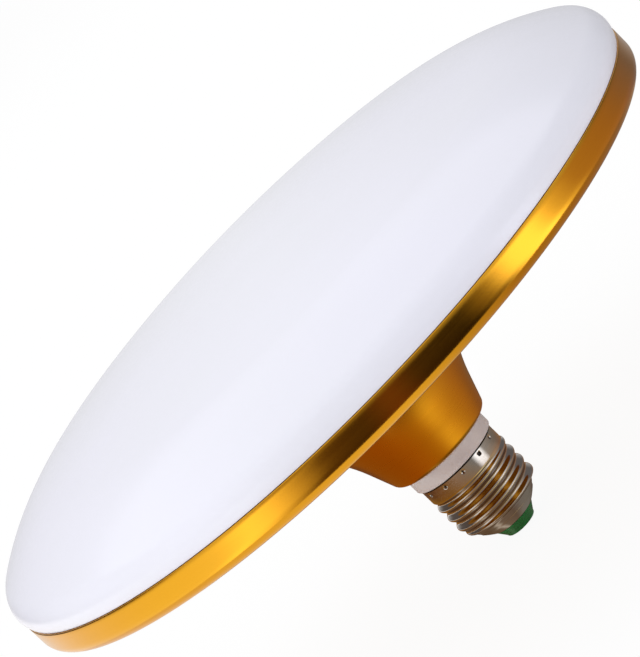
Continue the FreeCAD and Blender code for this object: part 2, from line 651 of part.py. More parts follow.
# Light board: a metal disc on the pan, its light sources, screws and header
def build_light_board():
    board = turned_body("led_board", [
        (cell("led_board_hole_radius"), PAN_FLOOR),
        (LED_BOARD_RADIUS, PAN_FLOOR),
        (LED_BOARD_RADIUS, LED_BOARD_TOP),
        (cell("led_board_hole_radius"), LED_BOARD_TOP),
    ])
    hole = feature(board, "SubtractiveCylinder", "board_screw_hole",
                   Radius="Sizes.screw_radius + 2 * Sizes.fit_gap",
                   Height=SCREW_LENGTH + " + Sizes.screw_head_height")
    offset(hole, x=SCREW_CIRCLE, z=SCREW_END)
    ring_of(board, [hole], cell("screw_count"))
    node(board)

    for ring, radius in (("inner", INNER_RING), ("middle", MIDDLE_RING), ("outer", OUTER_RING)):
        body = doc.addObject("PartDesign::Body", "led_ring_" + ring)
        body.Label = "led_ring_" + ring
        body.AllowCompound = True
        led = feature(body, "AdditiveBox", "led_" + ring, Length=cell("led_width"),
                      Width=cell("led_length"), Height=cell("led_height"))
        offset(led, x=radius + " - Sizes.led_width / 2", y="-Sizes.led_length / 2", z=LED_BOARD_TOP)
        ring_of(body, [led], "Sizes." + ring + "_ring_count")
        node(body)

    screws = doc.addObject("PartDesign::Body", "board_screws")
    screws.Label = "board_screws"
    screws.AllowCompound = True
    shank = feature(screws, "AdditiveCylinder", "screw_shank", Radius=cell("screw_radius"),
                    Height=SCREW_LENGTH)
    offset(shank, x=SCREW_CIRCLE, z=SCREW_END)
    doc.recompute()
    head = feature(screws, "AdditiveCylinder", "screw_head", Radius=cell("screw_head_radius"),
                   Height=cell("screw_head_height"))
    offset(head, x=SCREW_CIRCLE, z=LED_BOARD_TOP)
    ring_of(screws, [shank, head], cell("screw_count"))
    node(screws)

    header = box("lead_header", cell("header_length"), cell("header_width"), cell("header_height"))
    node(place(header, x=cell("header_distance"), y="-Sizes.header_width / 2", z=LED_BOARD_TOP))


# Driver board: stands in the sleeve between its guide ribs, with its parts
def board_box(label, offset_alias, width, depth, height, rise, side):
    """Box on the front or back face of the driver board."""
    item = box(label, width, depth, height)
    y = BOARD_FACE if side == BACK else "-" + BOARD_FACE + " - " + depth
    return place(item, x=offset_alias + " - " + width + " / 2", y=y, z=BOARD_FOOT + " + " + rise)


def board_round(label, offset_alias, outline, radius, rise, side):
    """Round part that stands along the front or back face of the driver board."""
    sign = "" if side == BACK else "-"
    y = sign + "(" + BOARD_FACE + " + " + radius + ")"
    return place(turned_body(label, outline), x=offset_alias, y=y, z=BOARD_FOOT + " + " + rise)


def can_outline(radius, length):
    """Outline of an electrolytic can with its groove."""
    groove = cell("can_groove_height")
    depth = cell("can_groove_depth")
    return [
        (AXIS, "0"),
        (radius, "0"),
        (radius, groove),
        (radius + " - " + depth, groove + " + " + depth),
        (radius, groove + " + 2 * " + depth),
        (radius, length),
        (AXIS, length),
    ]


def rod_outline(radius, length):
    """Outline of a plain rod."""
    return [(AXIS, "0"), (radius, "0"), (radius, length), (AXIS, length)]


def build_driver():
    width = cell("driver_board_width")
    thickness = cell("driver_board_thickness")
    board = box("driver_board", width, thickness, cell("driver_board_height"))
    node(place(board, x="-" + width + " / 2", y="-" + thickness + " / 2", z=BOARD_FOOT))
    fuse_rod = rod_outline(cell("fuse_radius"), cell("fuse_length"))
    node(board_round("fuse_resistor", cell("fuse_offset"), fuse_rod,
                     cell("fuse_radius"), cell("fuse_rise"), FRONT))
    node(board_box("bridge_rectifier", cell("bridge_offset"), cell("bridge_width"),
                   cell("bridge_thickness"), cell("bridge_width"), cell("bridge_rise"), FRONT))
    input_can = can_outline(cell("input_can_radius"), cell("input_can_length"))
    node(board_round("input_capacitor", "0", input_can,
                     cell("input_can_radius"), cell("input_can_rise"), FRONT))
    output_can = can_outline(cell("output_can_radius"), cell("output_can_length"))
    node(board_round("output_capacitor", cell("output_can_offset"), output_can,
                     cell("output_can_radius"), cell("output_can_rise"), FRONT))
    node(board_box("film_capacitor", cell("film_offset"), cell("film_width"),
                   cell("film_thickness"), cell("film_height"), cell("film_rise"), FRONT))
    node(board_box("driver_chip", cell("chip_offset"), cell("chip_width"),
                   cell("chip_thickness"), cell("chip_height"), cell("chip_rise"), BACK))
    diode_rod = rod_outline(cell("diode_radius"), cell("diode_length"))
    node(board_round("output_diode", cell("diode_offset"), diode_rod,
                     cell("diode_radius"), cell("diode_rise"), BACK))


# Inductor: a core with two windows and the winding round its centre leg
def build_inductor():
    reach = cell("winding_reach")
    face = BOARD_FACE + " + " + reach
    base = BOARD_FOOT + " + Sizes.core_rise"
    gap = cell("part_gap")
    window_height = "Sizes.core_height - 2 * Sizes.core_leg"
    window_width = "(Sizes.core_width / 2 - Sizes.core_leg - Sizes.core_centre_leg / 2)"
    block = box("core_block", cell("core_width"), cell("core_thickness"), cell("core_height"))
    place(block, x="-Sizes.core_width / 2", y=face, z=base)
    windows = []
    for name, x in (("core_window_right", "Sizes.core_centre_leg / 2"),
                    ("core_window_left", "-Sizes.core_centre_leg / 2 - " + window_width)):
        window = box(name, window_width, cell("core_thickness"), window_height)
        windows.append(place(window, x=x, y=face, z=base + " + Sizes.core_leg"))
    node(cut("inductor_core", block, fuse("core_windows", windows)))

    outside = "(Sizes.core_width - 2 * Sizes.core_leg - 2 * " + gap + ")"
    depth = "Sizes.core_thickness + 2 * (" + reach + " - " + gap + ")"
    coil_height = window_height + " - 2 * " + gap
    coil_base = base + " + Sizes.core_leg + " + gap
    coil = box("winding_block", outside, depth, coil_height)
    place(coil, x="-" + outside + " / 2", y=face + " - " + reach + " + " + gap, z=coil_base)
    leg = box("winding_hole", "Sizes.core_centre_leg + 2 * " + gap,
              "Sizes.core_thickness + 2 * " + gap, coil_height)
    place(leg, x="-Sizes.core_centre_leg / 2 - " + gap, y=face + " - " + gap, z=coil_base)
    node(cut("inductor_winding", coil, leg))


# Leads: round wires along straight runs joined by tangent arcs
def lead_path(points):
    """Path through the points, with each corner rounded as far as its runs allow."""
    share = number(cell("lead_bend_share"))
    edges = []
    start = points[0]
    for index in range(1, len(points) - 1):
        corner = points[index]
        back = points[index - 1] - corner
        ahead = points[index + 1] - corner
        trim = share * min(back.Length, ahead.Length)
        back.normalize()
        ahead.normalize()
        half_opening = back.getAngle(ahead) / 2
        radius = trim * math.tan(half_opening)
        inward = (back + ahead).normalize()
        middle = corner + inward * (radius / math.sin(half_opening) - radius)
        first = corner + back * trim
        last = corner + ahead * trim
        edges.append(Part.LineSegment(start, first).toShape())
        edges.append(Part.Arc(first, middle, last).toShape())
        start = last
    edges.append(Part.LineSegment(start, points[-1]).toShape())
    return Part.Wire(edges)


def build_lead(label, points):
    """Round lead along a rounded path."""
    path = lead_path([FreeCAD.Vector(*[number(value) for value in point]) for point in points])
    begin = path.Edges[0]
    direction = begin.tangentAt(begin.FirstParameter)
    circle = Part.Wire([Part.Circle(begin.valueAt(begin.FirstParameter), direction,
                                    number(cell("lead_radius"))).toShape()])
    lead = doc.addObject("Part::Feature", label)
    lead.Label = label
    lead.Shape = path.makePipeShell([circle], True, True)
    node(lead)


def build_leads():
    rivet = SHANK_END + " + Sizes.lead_gap"
    bend = SLEEVE_FOOT + " - Sizes.live_bend_drop"
    front = "-" + LEAD_FACE
    build_lead("live_lead", [
        (AXIS, "0", rivet),
        (AXIS, "0", "(" + rivet + " + " + bend + ") / 2"),
        (cell("fuse_offset"), front, bend),
        (cell("fuse_offset"), front, BOARD_FOOT + " + Sizes.live_end_rise"),
    ])
    wall = THREAD_BORE + " - Sizes.lead_gap"
    height = THREAD_START + " + Sizes.neutral_rise"
    build_lead("neutral_lead", [
        (wall, "0", height),
        (cell("neutral_offset"), LEAD_FACE, height),
        (cell("neutral_offset"), LEAD_FACE, BOARD_FOOT + " + Sizes.neutral_end_rise"),
    ])
    over = LED_BOARD_TOP + " + Sizes.supply_rise"
    start = BOARD_TOP + " - Sizes.supply_drop"
    clear = BOARD_TOP + " + Sizes.supply_drop"
    for label, sign in (("positive_lead", ""), ("negative_lead", "-")):
        across = sign + cell("supply_offset")
        beside = sign + cell("supply_spread")
        build_lead(label, [
            (across, front, start),
            (across, front, clear),
            (AXIS, beside, PAN_FLOOR),
            (AXIS, beside, over),
            ("Sizes.header_distance - Sizes.lead_gap", beside, over),
        ])


def check_and_write():
    """Refuses a failed document and writes each piece to its own file."""
    doc.recompute()
    for item in doc.Objects:
        if "Invalid" in item.State or "Error" in item.State:
            raise RuntimeError("%s is %s" % (item.Name, item.State))
    for item in nodes:
        shape = item.Shape
        if shape.isNull() or not shape.isValid() or not shape.Solids:
            raise RuntimeError("%s has no valid solid" % item.Label)
    os.makedirs("parts", exist_ok=True)
    for item in nodes:
        item.Shape.exportStep("parts/%s.step" % item.Label)
        print("%-18s %3d solids %12.2f mm3" % (item.Label, len(item.Shape.Solids), item.Shape.Volume))


build_contact()
build_insulator()
build_cap()
build_sleeve()
build_nut()
build_housing()
build_diffuser()
build_light_board()
build_driver()
build_inductor()
build_leads()
check_and_write()
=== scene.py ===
"""Looks of a screw-in disc lamp: opal dome, gold pan with a flared neck, light collar and screw cap.

Lengths in the classes of the pieces are millimetres, with Z up the lamp's axis from the tip of the contact.
Lengths in the studio's surround and lamps are metres, as in the scene. Angles are degrees.
"""

import logging
import math
from dataclasses import dataclass, field
from enum import Enum

import bpy
import numpy as np
from mathutils import Matrix, Vector


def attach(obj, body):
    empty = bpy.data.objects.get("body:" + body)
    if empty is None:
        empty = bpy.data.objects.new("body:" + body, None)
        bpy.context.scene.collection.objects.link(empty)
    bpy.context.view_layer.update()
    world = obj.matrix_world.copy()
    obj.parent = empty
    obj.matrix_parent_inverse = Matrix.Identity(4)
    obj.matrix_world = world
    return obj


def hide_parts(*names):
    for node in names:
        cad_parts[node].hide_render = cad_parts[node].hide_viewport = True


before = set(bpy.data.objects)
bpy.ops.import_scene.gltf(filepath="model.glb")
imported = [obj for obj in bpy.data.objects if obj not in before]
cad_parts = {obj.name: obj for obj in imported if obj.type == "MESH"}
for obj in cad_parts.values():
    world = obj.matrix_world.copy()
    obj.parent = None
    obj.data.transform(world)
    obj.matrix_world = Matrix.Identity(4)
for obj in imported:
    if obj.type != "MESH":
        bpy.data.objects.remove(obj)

log = logging.getLogger("disc_lamp")

MILLIMETRE = 0.001
TURN = 360.0

Node, Socket, Material = bpy.types.Node, bpy.types.NodeSocket, bpy.types.Material
Colour = tuple[float, float, float]
Span = tuple[float, float]
Ramp = tuple[tuple[float, float, float, float], ...]

# A Mix node set to colour: its sockets for the share and the two colours, and the one of its result.
MIX_INPUTS = (0, 6, 7)
MIX_RESULT = 2

# Noise gathers about its middle: these ranges of the drift and of the specks become 0 to 1.
DRIFT_RANGE = (0.35, 0.65)
SPECK_RANGE = (0.3, 0.7)

# Share of the turned marks in the specks of a turned finish, and depth of all relief in metres.
RING_SHARE = 0.6
RELIEF_DEPTH = 0.0002

# Glossy Depth above this is a reflection seen in another one.
FIRST_REFLECTION = 1.5


class Side(Enum):
    """Side of the path of travel on which an arc has its centre."""

    LEFT = 1.0
    RIGHT = -1.0


class Grain(Enum):
    """How the fine structure of a finish lies on the piece."""

    CAST = "cast"
    TURNED = "turned"


# Profiles and surfaces


class Profile:
    """Half section of a turned piece: points (radius, height) walked with the material on the left."""

    def __init__(self, radius: float, height: float) -> None:
        """Starts the section at one point."""
        self.runs: list[np.ndarray] = [np.array([[radius, height]])]

    @property
    def end(self) -> np.ndarray:
        """Last point so far."""
        return self.runs[-1][-1]

    def line(self, radius: float, height: float, steps: int = 1) -> None:
        """Adds a straight run, as start + share * (end - start).

        Args:
            radius: radius of its end.
            height: height of its end.
            steps: number of pieces that it is divided into.
        """
        share = np.linspace(0.0, 1.0, steps + 1)[1:, None]
        self.runs.append(self.end + share * (np.array([[radius, height]]) - self.end))

    def arc(self, radius: float, height: float, bend: float, side: Side, steps: int) -> None:
        """Adds a round run: centre + bend * (cos t, sin t) for t along the shorter way.

        Args:
            radius: radius of its end.
            height: height of its end.
            bend: radius of the arc.
            side: side on which its centre lies.
            steps: number of pieces that it is divided into.
        """
        start, target = self.end, np.array([radius, height])
        chord = target - start
        length = float(np.hypot(*chord))
        across = np.array([-chord[1], chord[0]]) / length * side.value
        centre = (start + target) / 2 + across * math.sqrt(max(bend**2 - length**2 / 4, 0.0))
        first = math.atan2(*(start - centre)[::-1])
        last = math.atan2(*(target - centre)[::-1])
        sweep = (last - first + math.pi) % (2 * math.pi) - math.pi
        angles = first + sweep * np.linspace(0.0, 1.0, steps + 1)[1:]
        self.runs.append(centre + bend * np.column_stack([np.cos(angles), np.sin(angles)]))

    def points(self) -> np.ndarray:
        """All points as an array of (radius, height)."""
        return np.vstack(self.runs)


@dataclass(frozen=True)
class Skin:
    """Vertices in millimetres and faces of a closed surface."""

    vertices: np.ndarray
    faces: list[np.ndarray]


def even_angles(count: int) -> np.ndarray:
    """Angles evenly round the axis: full turn * index / count."""
    return 2 * math.pi * np.arange(count) / count


def wrap_grid(rows: int, columns: int, closed_rows: bool) -> np.ndarray:
    """Quads of a grid that closes on itself along its columns.

    Args:
        rows: number of rows.
        columns: number of columns.
        closed_rows: whether the last row joins the first.

    Returns:
        Array of quads.
    """
    i = np.arange(rows if closed_rows else rows - 1)[:, None]
    j = np.arange(columns)[None, :]
    below, above = i * columns, (i + 1) % rows * columns
    after = (j + 1) % columns
    corners = [below + j, below + after, above + after, above + j]
    return np.stack(corners, axis=-1).reshape(-1, 4)


def turned_skin(radii: np.ndarray, heights: np.ndarray, angles: np.ndarray) -> Skin:
    """Surface (r cos a, r sin a, z) with radius and height given for each row and angle.

    A row whose radius is zero at either end becomes a single pole with a fan of triangles.

    Args:
        radii: rows by columns, or rows by one.
        heights: the same.
        angles: angle of each column.

    Returns:
        The closed surface.
    """
    radii = np.broadcast_to(radii, (len(radii), len(angles)))
    heights = np.broadcast_to(heights, radii.shape)
    pole_first, pole_last = radii[0].max() == 0.0, radii[-1].max() == 0.0
    inner = slice(1 if pole_first else 0, len(radii) - 1 if pole_last else len(radii))
    r, z = radii[inner], heights[inner]
    grid = np.stack([r * np.cos(angles), r * np.sin(angles), z], axis=-1).reshape(-1, 3)
    columns = len(angles)
    faces = [wrap_grid(len(r), columns, not (pole_first or pole_last))]
    j = np.arange(columns)
    after = (j + 1) % columns
    poles = []
    if pole_first:
        faces.append(np.column_stack([np.full(columns, len(grid)), after, j]))
        poles.append([0.0, 0.0, heights[0, 0]])
    if pole_last:
        top, tip = (len(r) - 1) * columns, len(grid) + len(poles)
        faces.append(np.column_stack([top + j, top + after, np.full(columns, tip)]))
        poles.append([0.0, 0.0, heights[-1, 0]])
    return Skin(np.vstack([grid, *poles]), faces)


def turned_profile(profile: Profile, columns: int) -> Skin:
    """Surface of a profile turned about the axis, where the last point joins the first."""
    points = profile.points()
    return turned_skin(points[:, :1], points[:, 1:], even_angles(columns))


def put_object(name: str, data: bpy.types.ID) -> bpy.types.Object:
    """Makes an object and links it to the scene.

    Args:
        name: name of the object.
        data: its mesh, light or camera.

    Returns:
        The object.
    """
    made = bpy.data.objects.new(name, data)
    bpy.context.scene.collection.objects.link(made)
    return made


def put_piece(name: str, skin: Skin, material: Material, sharp: float = 40.0) -> bpy.types.Object:
    """Makes a mesh object of a surface and lets it ride on the lamp's one body.

    Args:
        name: name of the piece.
        skin: its surface in millimetres.
        material: its finish.
        sharp: edges that turn by more than this many degrees stay sharp.

    Returns:
        The object.
    """
    mesh = bpy.data.meshes.new(name)
    loops = np.concatenate([block.ravel() for block in skin.faces]).astype(np.int32)
    sizes = np.concatenate([np.full(len(block), block.shape[1]) for block in skin.faces])
    mesh.vertices.add(len(skin.vertices))
    mesh.vertices.foreach_set("co", (skin.vertices * MILLIMETRE).astype(np.float32).ravel())
    mesh.loops.add(len(loops))
    mesh.loops.foreach_set("vertex_index", loops)
    mesh.polygons.add(len(sizes))
    mesh.polygons.foreach_set("loop_start", np.concatenate([[0], np.cumsum(sizes)[:-1]]).astype(np.int32))
    mesh.polygons.foreach_set("use_smooth", np.ones(len(sizes), dtype=bool))
    mesh.update(calc_edges=True)
    mesh.validate()
    mesh.set_sharp_from_angle(angle=math.radians(sharp))
    mesh.materials.append(material)
    piece = put_object(name, mesh)
    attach(piece, "root")
    log.info("%s: %d vertices, %d faces", name, len(mesh.vertices), len(mesh.polygons))
    return piece


# Shader building


def opaque(colour: Colour) -> tuple[float, ...]:
    """Colour with full cover."""
    return (*colour, 1.0)


class Nodes:
    """Short way to place and join shader nodes in a tree."""

    def __init__(self, tree: bpy.types.NodeTree) -> None:
        """Keeps the tree."""
        self.tree = tree

    def put(self, value: object, target: Socket) -> None:
        """Links a socket to an input, or makes any other value the input's own.

        Args:
            value: socket, number, colour or vector.
            target: the input.
        """
        if isinstance(value, Socket):
            self.tree.links.new(value, target)
        else:
            target.default_value = value

    def add(self, kind: str, settings: dict[str, object] | None = None, **inputs: object) -> Node:
        """Adds a node.

        Args:
            kind: node type.
            settings: its attributes by name.
            inputs: socket or value for each input, by the input's name with _ for spaces.

        Returns:
            The node.
        """
        node = self.tree.nodes.new(kind)
        for key, value in (settings or {}).items():
            setattr(node, key, value)
        for key, value in inputs.items():
            self.put(value, node.inputs[key.replace("_", " ")])
        return node

    def fill(self, node: Node, *values: object) -> Socket:
        """Sets or links the first inputs in their order.

        Args:
            node: the node to feed.
            values: sockets or values.

        Returns:
            The node's first output.
        """
        for target, value in zip(node.inputs, values):
            self.put(value, target)
        return node.outputs[0]

    def math(self, operation: str, *values: object) -> Socket:
        """Result of one arithmetic step on sockets or numbers."""
        return self.fill(self.add("ShaderNodeMath", {"operation": operation}), *values)

    def spread(self, value: object, low: float, high: float, to: Span) -> Socket:
        """Value moved from one range to another and kept inside it."""
        return self.fill(self.add("ShaderNodeMapRange"), value, low, high, *to)

    def blend(self, share: object, first: object, second: object) -> Socket:
        """Colour between two colours: first + share * (second - first).

        Args:
            share: socket or number.
            first: colour at 0.
            second: colour at 1.

        Returns:
            The colour.
        """
        node = self.add("ShaderNodeMix", {"data_type": "RGBA"})
        for index, value in zip(MIX_INPUTS, (share, first, second)):
            self.put(value, node.inputs[index])
        return node.outputs[MIX_RESULT]

    def either(self, share: object, first: object, second: object) -> Socket:
        """Shader between two shaders by a share."""
        return self.fill(self.add("ShaderNodeMixShader"), share, first, second)

    def glow(self, colour: object) -> Socket:
        """Shader that gives off a colour at strength 1."""
        return self.add("ShaderNodeEmission", Color=colour, Strength=1.0).outputs[0]

    def place(self) -> tuple[Socket, ...]:
        """Object coordinates x, y and z."""
        point = self.add("ShaderNodeTexCoord").outputs["Object"]
        return tuple(self.add("ShaderNodeSeparateXYZ", Vector=point).outputs)

    def distance(self, x: Socket, y: Socket) -> Socket:
        """Distance from the axis: sqrt(x^2 + y^2)."""
        return self.math("SQRT", self.math("ADD", self.math("MULTIPLY", x, x), self.math("MULTIPLY", y, y)))

    def seen(self) -> Socket:
        """1 for what the camera sees, also through something clear, and 0 for the rest."""
        path = self.add("ShaderNodeLightPath").outputs
        return self.math("MAXIMUM", path["Is Camera Ray"], path["Is Transmission Ray"])

    def mirrored_again(self) -> Socket:
        """1 for what a reflection sees in another reflection, and 0 for the rest."""
        depth = self.add("ShaderNodeLightPath").outputs["Glossy Depth"]
        return self.math("GREATER_THAN", depth, FIRST_REFLECTION)

    def show(self, surface: Socket, kind: str = "ShaderNodeOutputMaterial") -> None:
        """Leads a shader to an output node of the given type."""
        self.put(surface, self.add(kind).inputs["Surface"])


def clear_nodes(owner: Material | bpy.types.World) -> Nodes:
    """Empties the nodes of a material or a world.

    Args:
        owner: the material or world.

    Returns:
        Its node helper.
    """
    owner.use_nodes = True
    owner.node_tree.nodes.clear()
    return Nodes(owner.node_tree)


def new_group(name: str, inputs: dict[str, float],
              outputs: tuple[str, ...]) -> tuple[Nodes, bpy.types.NodeOutputs, bpy.types.NodeInputs]:
    """Empty shader group with named number sockets.

    Args:
        name: name of the group.
        inputs: input sockets and their defaults.
        outputs: output sockets.

    Returns:
        The group's node helper, its inputs as sockets to read and its outputs as sockets to link to.
    """
    group = bpy.data.node_groups.new(name, "ShaderNodeTree")
    for label, default in inputs.items():
        socket = group.interface.new_socket(name=label, in_out="INPUT", socket_type="NodeSocketFloat")
        socket.default_value = default
    for label in outputs:
        group.interface.new_socket(name=label, in_out="OUTPUT", socket_type="NodeSocketFloat")
    nodes = Nodes(group)
    return nodes, nodes.add("NodeGroupInput").outputs, nodes.add("NodeGroupOutput").inputs


def make_grain_group() -> bpy.types.NodeTree:
    """Fine even grain and a broad cloud, both from noise on Object coordinates.

    Returns:
        The group.
    """
    nodes, given, result = new_group("fine_grain", {"Grain": 2500.0, "Cloud": 25.0}, ("Speck", "Drift"))
    place = nodes.add("ShaderNodeTexCoord").outputs["Object"]
    fine = nodes.add("ShaderNodeTexNoise", Vector=place, Scale=given["Grain"], Detail=2.0)
    broad = nodes.add("ShaderNodeTexNoise", Vector=place, Scale=given["Cloud"], Detail=3.0)
    nodes.put(fine.outputs[0], result["Speck"])
    nodes.put(broad.outputs[0], result["Drift"])
    return nodes.tree


def make_turned_group() -> bpy.types.NodeTree:
    """Marks of turning: noise on (distance from the axis, height), a little stretched round the axis.

    Returns:
        The group.
    """
    nodes, given, result = new_group("turned_marks", {"Fineness": 1500.0, "Slip": 1.5}, ("Ring",))
    x, y, z = nodes.place()
    turn = nodes.math("COSINE", nodes.math("ARCTAN2", y, x))
    point = nodes.fill(
        nodes.add("ShaderNodeCombineXYZ"), nodes.math("MULTIPLY", nodes.distance(x, y), given["Fineness"]),
        nodes.math("MULTIPLY", z, given["Fineness"]), nodes.math("MULTIPLY", turn, given["Slip"]),
    )
    lines = nodes.add("ShaderNodeTexNoise", Vector=point, Scale=1.0, Detail=2.0)
    nodes.put(lines.outputs[0], result["Ring"])
    return nodes.tree


GRAIN = make_grain_group()
TURNED = make_turned_group()


@dataclass(frozen=True)
class Finish:
    """One surface finish: a colour with drift and specks, and a roughness and relief with grain.

    Below the height satin_below the roughness grows by satin, over the stretch satin_fade.
    """

    name: str
    colour: Colour
    deep: Colour
    roughness: float = 0.4
    roughness_span: float = 0.08
    metallic: float = 0.0
    grain: float = 2500.0
    cloud: float = 200.0
    relief: float = 0.02
    speck_share: float = 0.15
    lie: Grain = Grain.CAST
    ior: float = 1.5
    satin: float = 0.0
    satin_below: float = 0.0
    satin_fade: float = 2.0

    def grain_masks(self, nodes: Nodes) -> tuple[Socket, Socket]:
        """Places the grain group and, for a turned finish, the turned marks.

        Args:
            nodes: helper of the material.

        Returns:
            The fine mask and the broad one.
        """
        group = nodes.add("ShaderNodeGroup", {"node_tree": GRAIN}, Grain=self.grain, Cloud=self.cloud)
        fine = group.outputs["Speck"]
        if self.lie is Grain.TURNED:
            rings = nodes.add("ShaderNodeGroup", {"node_tree": TURNED}).outputs["Ring"]
            specks = nodes.math("MULTIPLY", fine, 1.0 - RING_SHARE)
            fine = nodes.math("MULTIPLY_ADD", rings, RING_SHARE, specks)
        return fine, group.outputs["Drift"]

    def tint(self, nodes: Nodes, tone: Socket) -> Socket:
        """The colour as it is; a finish with painted shade changes it."""
        return tone

    def make(self) -> Material:
        """Builds the material.

        Returns:
            The finished material.
        """
        material = bpy.data.materials.new(self.name)
        material.diffuse_color = opaque(self.colour)
        material.roughness = self.roughness
        material.metallic = self.metallic
        nodes = clear_nodes(material)
        fine, drift = self.grain_masks(nodes)
        share = nodes.math("ADD", nodes.math("MULTIPLY", drift, 1.0 - self.speck_share),
                           nodes.math("MULTIPLY", fine, self.speck_share))
        share = nodes.spread(share, *DRIFT_RANGE, to=(0.0, 1.0))
        tone = self.tint(nodes, nodes.blend(share, opaque(self.deep), opaque(self.colour)))
        span = self.roughness_span
        gloss = nodes.spread(fine, *SPECK_RANGE, to=(self.roughness - span, self.roughness + span))
        if self.satin > 0.0:
            low, high = (self.satin_below - self.satin_fade) * MILLIMETRE, self.satin_below * MILLIMETRE
            gloss = nodes.math("ADD", gloss, nodes.spread(nodes.place()[2], low, high, to=(self.satin, 0.0)))
        bump = nodes.add("ShaderNodeBump", Strength=self.relief, Distance=RELIEF_DEPTH, Height=fine)
        shader = nodes.add("ShaderNodeBsdfPrincipled", Metallic=self.metallic, IOR=self.ior,
                           Base_Color=tone, Roughness=gloss, Normal=bump.outputs[0])
        nodes.show(shader.outputs[0])
        return material


@dataclass(frozen=True)
class PlatingWithPaintedShade(Finish):
    """Plating with painted shade in the bottoms of the staking dimples and a painted shadow of the collar
    along its top edge.
    """

    # Painted shade: below this radius and above pit_floor the colour turns dark, in the dimple bottoms and
    # the pierced hole.
    pit_radius: float = 12.52
    pit_floor: float = 24.6
    # Height above which the collar's shadow is painted on the cap's top edge.
    shadow_line: float = 26.35
    blur: float = 0.1
    # Colour of the painted shade in the dimples and of the painted shadow under the collar.
    painted_shade: Colour = (0.02, 0.017, 0.015)

    def tint(self, nodes: Nodes, tone: Socket) -> Socket:
        """Paints shade into the colour where sqrt(x^2 + y^2) is small in the ring of dimples, and paints the
        collar's shadow near the top edge.

        Args:
            nodes: helper of the material.
            tone: the plating's colour.

        Returns:
            The colour with its dark places.
        """
        x, y, height = nodes.place()
        radius, line, blur = self.pit_radius * MILLIMETRE, self.shadow_line * MILLIMETRE, self.blur * MILLIMETRE
        # Painted shade in the bottoms of the dimples, where the radius is small.
        pit = nodes.spread(nodes.distance(x, y), radius - blur, radius + blur, to=(1.0, 0.0))
        above = nodes.math("GREATER_THAN", height, self.pit_floor * MILLIMETRE)
        # Painted shadow of the collar along the cap's top edge.
        shadow_line = nodes.spread(height, line - blur, line + blur, to=(0.0, 1.0))
        share = nodes.math("MAXIMUM", nodes.math("MULTIPLY", pit, above), shadow_line)
        return nodes.blend(share, tone, opaque(self.painted_shade))


# The lamp's own pieces


@dataclass
class Dome:
    """Opal diffuser: three tangent arcs with a lip, and a skirt inside the rim."""

    rim_top: float = 79.8
    widest: float = 110.4
    widest_rise: float = 3.2
    cap_angle: float = 11.1
    shoulder_angle: float = 34.0
    shoulder_bend: float = 73.0
    edge_bend: float = 7.2
    lip: float = 109.65
    lip_bend: float = 8.0
    lip_gap: float = 0.12
    lip_flat: float = 0.2
    lip_over: float = 0.02
    lip_round: float = 0.22
    wall: float = 1.8
    skirt: float = 108.7
    skirt_wall: float = 1.5
    skirt_height: float = 4.6
    columns: int = 288
    finish: Finish = Finish(
        "opal", (0.86, 0.855, 0.94), (0.84, 0.84, 0.905), roughness=0.2, roughness_span=0.015,
        grain=900.0, cloud=12.0, relief=0.01, ior=1.49,
    )

    def section(self) -> Profile:
        """Half section from the inner pole down the inside, round the skirt and up to the outer pole.

        Returns:
            The profile, walked with the material on its left.
        """
        cap, shoulder = math.radians(self.cap_angle), math.radians(self.shoulder_angle)
        height = self.rim_top + self.widest_rise
        edge_r = self.widest - self.edge_bend * (1 - math.sin(shoulder))
        edge_z = height + self.edge_bend * math.cos(shoulder)
        cap_r = edge_r - self.shoulder_bend * (math.sin(shoulder) - math.sin(cap))
        cap_z = edge_z + self.shoulder_bend * (math.cos(cap) - math.cos(shoulder))
        cap_bend = cap_r / math.sin(cap)
        top = cap_z + cap_bend * (1 - math.cos(cap))
        inside, seat = self.skirt - self.skirt_wall, self.rim_top + self.lip_gap
        foot = self.rim_top - self.skirt_height
        profile = Profile(0.0, top - self.wall)
        line, arc = profile.line, profile.arc
        arc(cap_r - self.wall * math.sin(cap), cap_z - self.wall * math.cos(cap),
            cap_bend - self.wall, Side.RIGHT, steps=24)
        arc(edge_r - self.wall * math.sin(shoulder), edge_z - self.wall * math.cos(shoulder),
            self.shoulder_bend - self.wall, Side.RIGHT, steps=16)
        arc(self.widest - self.wall, height, self.edge_bend - self.wall, Side.RIGHT, steps=10)
        line(inside, seat)
        line(inside, foot)
        line(self.skirt, foot)
        line(self.skirt, seat)
        line(self.lip - self.lip_flat, seat)
        arc(self.lip + self.lip_over, seat + self.lip_round, self.lip_round, Side.LEFT, steps=4)
        arc(self.widest, height, self.lip_bend, Side.LEFT, steps=10)
        arc(edge_r, edge_z, self.edge_bend, Side.LEFT, steps=16)
        arc(cap_r, cap_z, self.shoulder_bend, Side.LEFT, steps=28)
        arc(0.0, top, cap_bend, Side.LEFT, steps=36)
        profile.runs[-1][-1] = (0.0, top)  # the pole lies exactly on the axis
        return profile

    def build(self) -> None:
        """Makes the dome and hides the node whose place it takes."""
        piece = put_piece("dome", turned_profile(self.section(), self.columns), self.finish.make())
        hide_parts("diffuser")


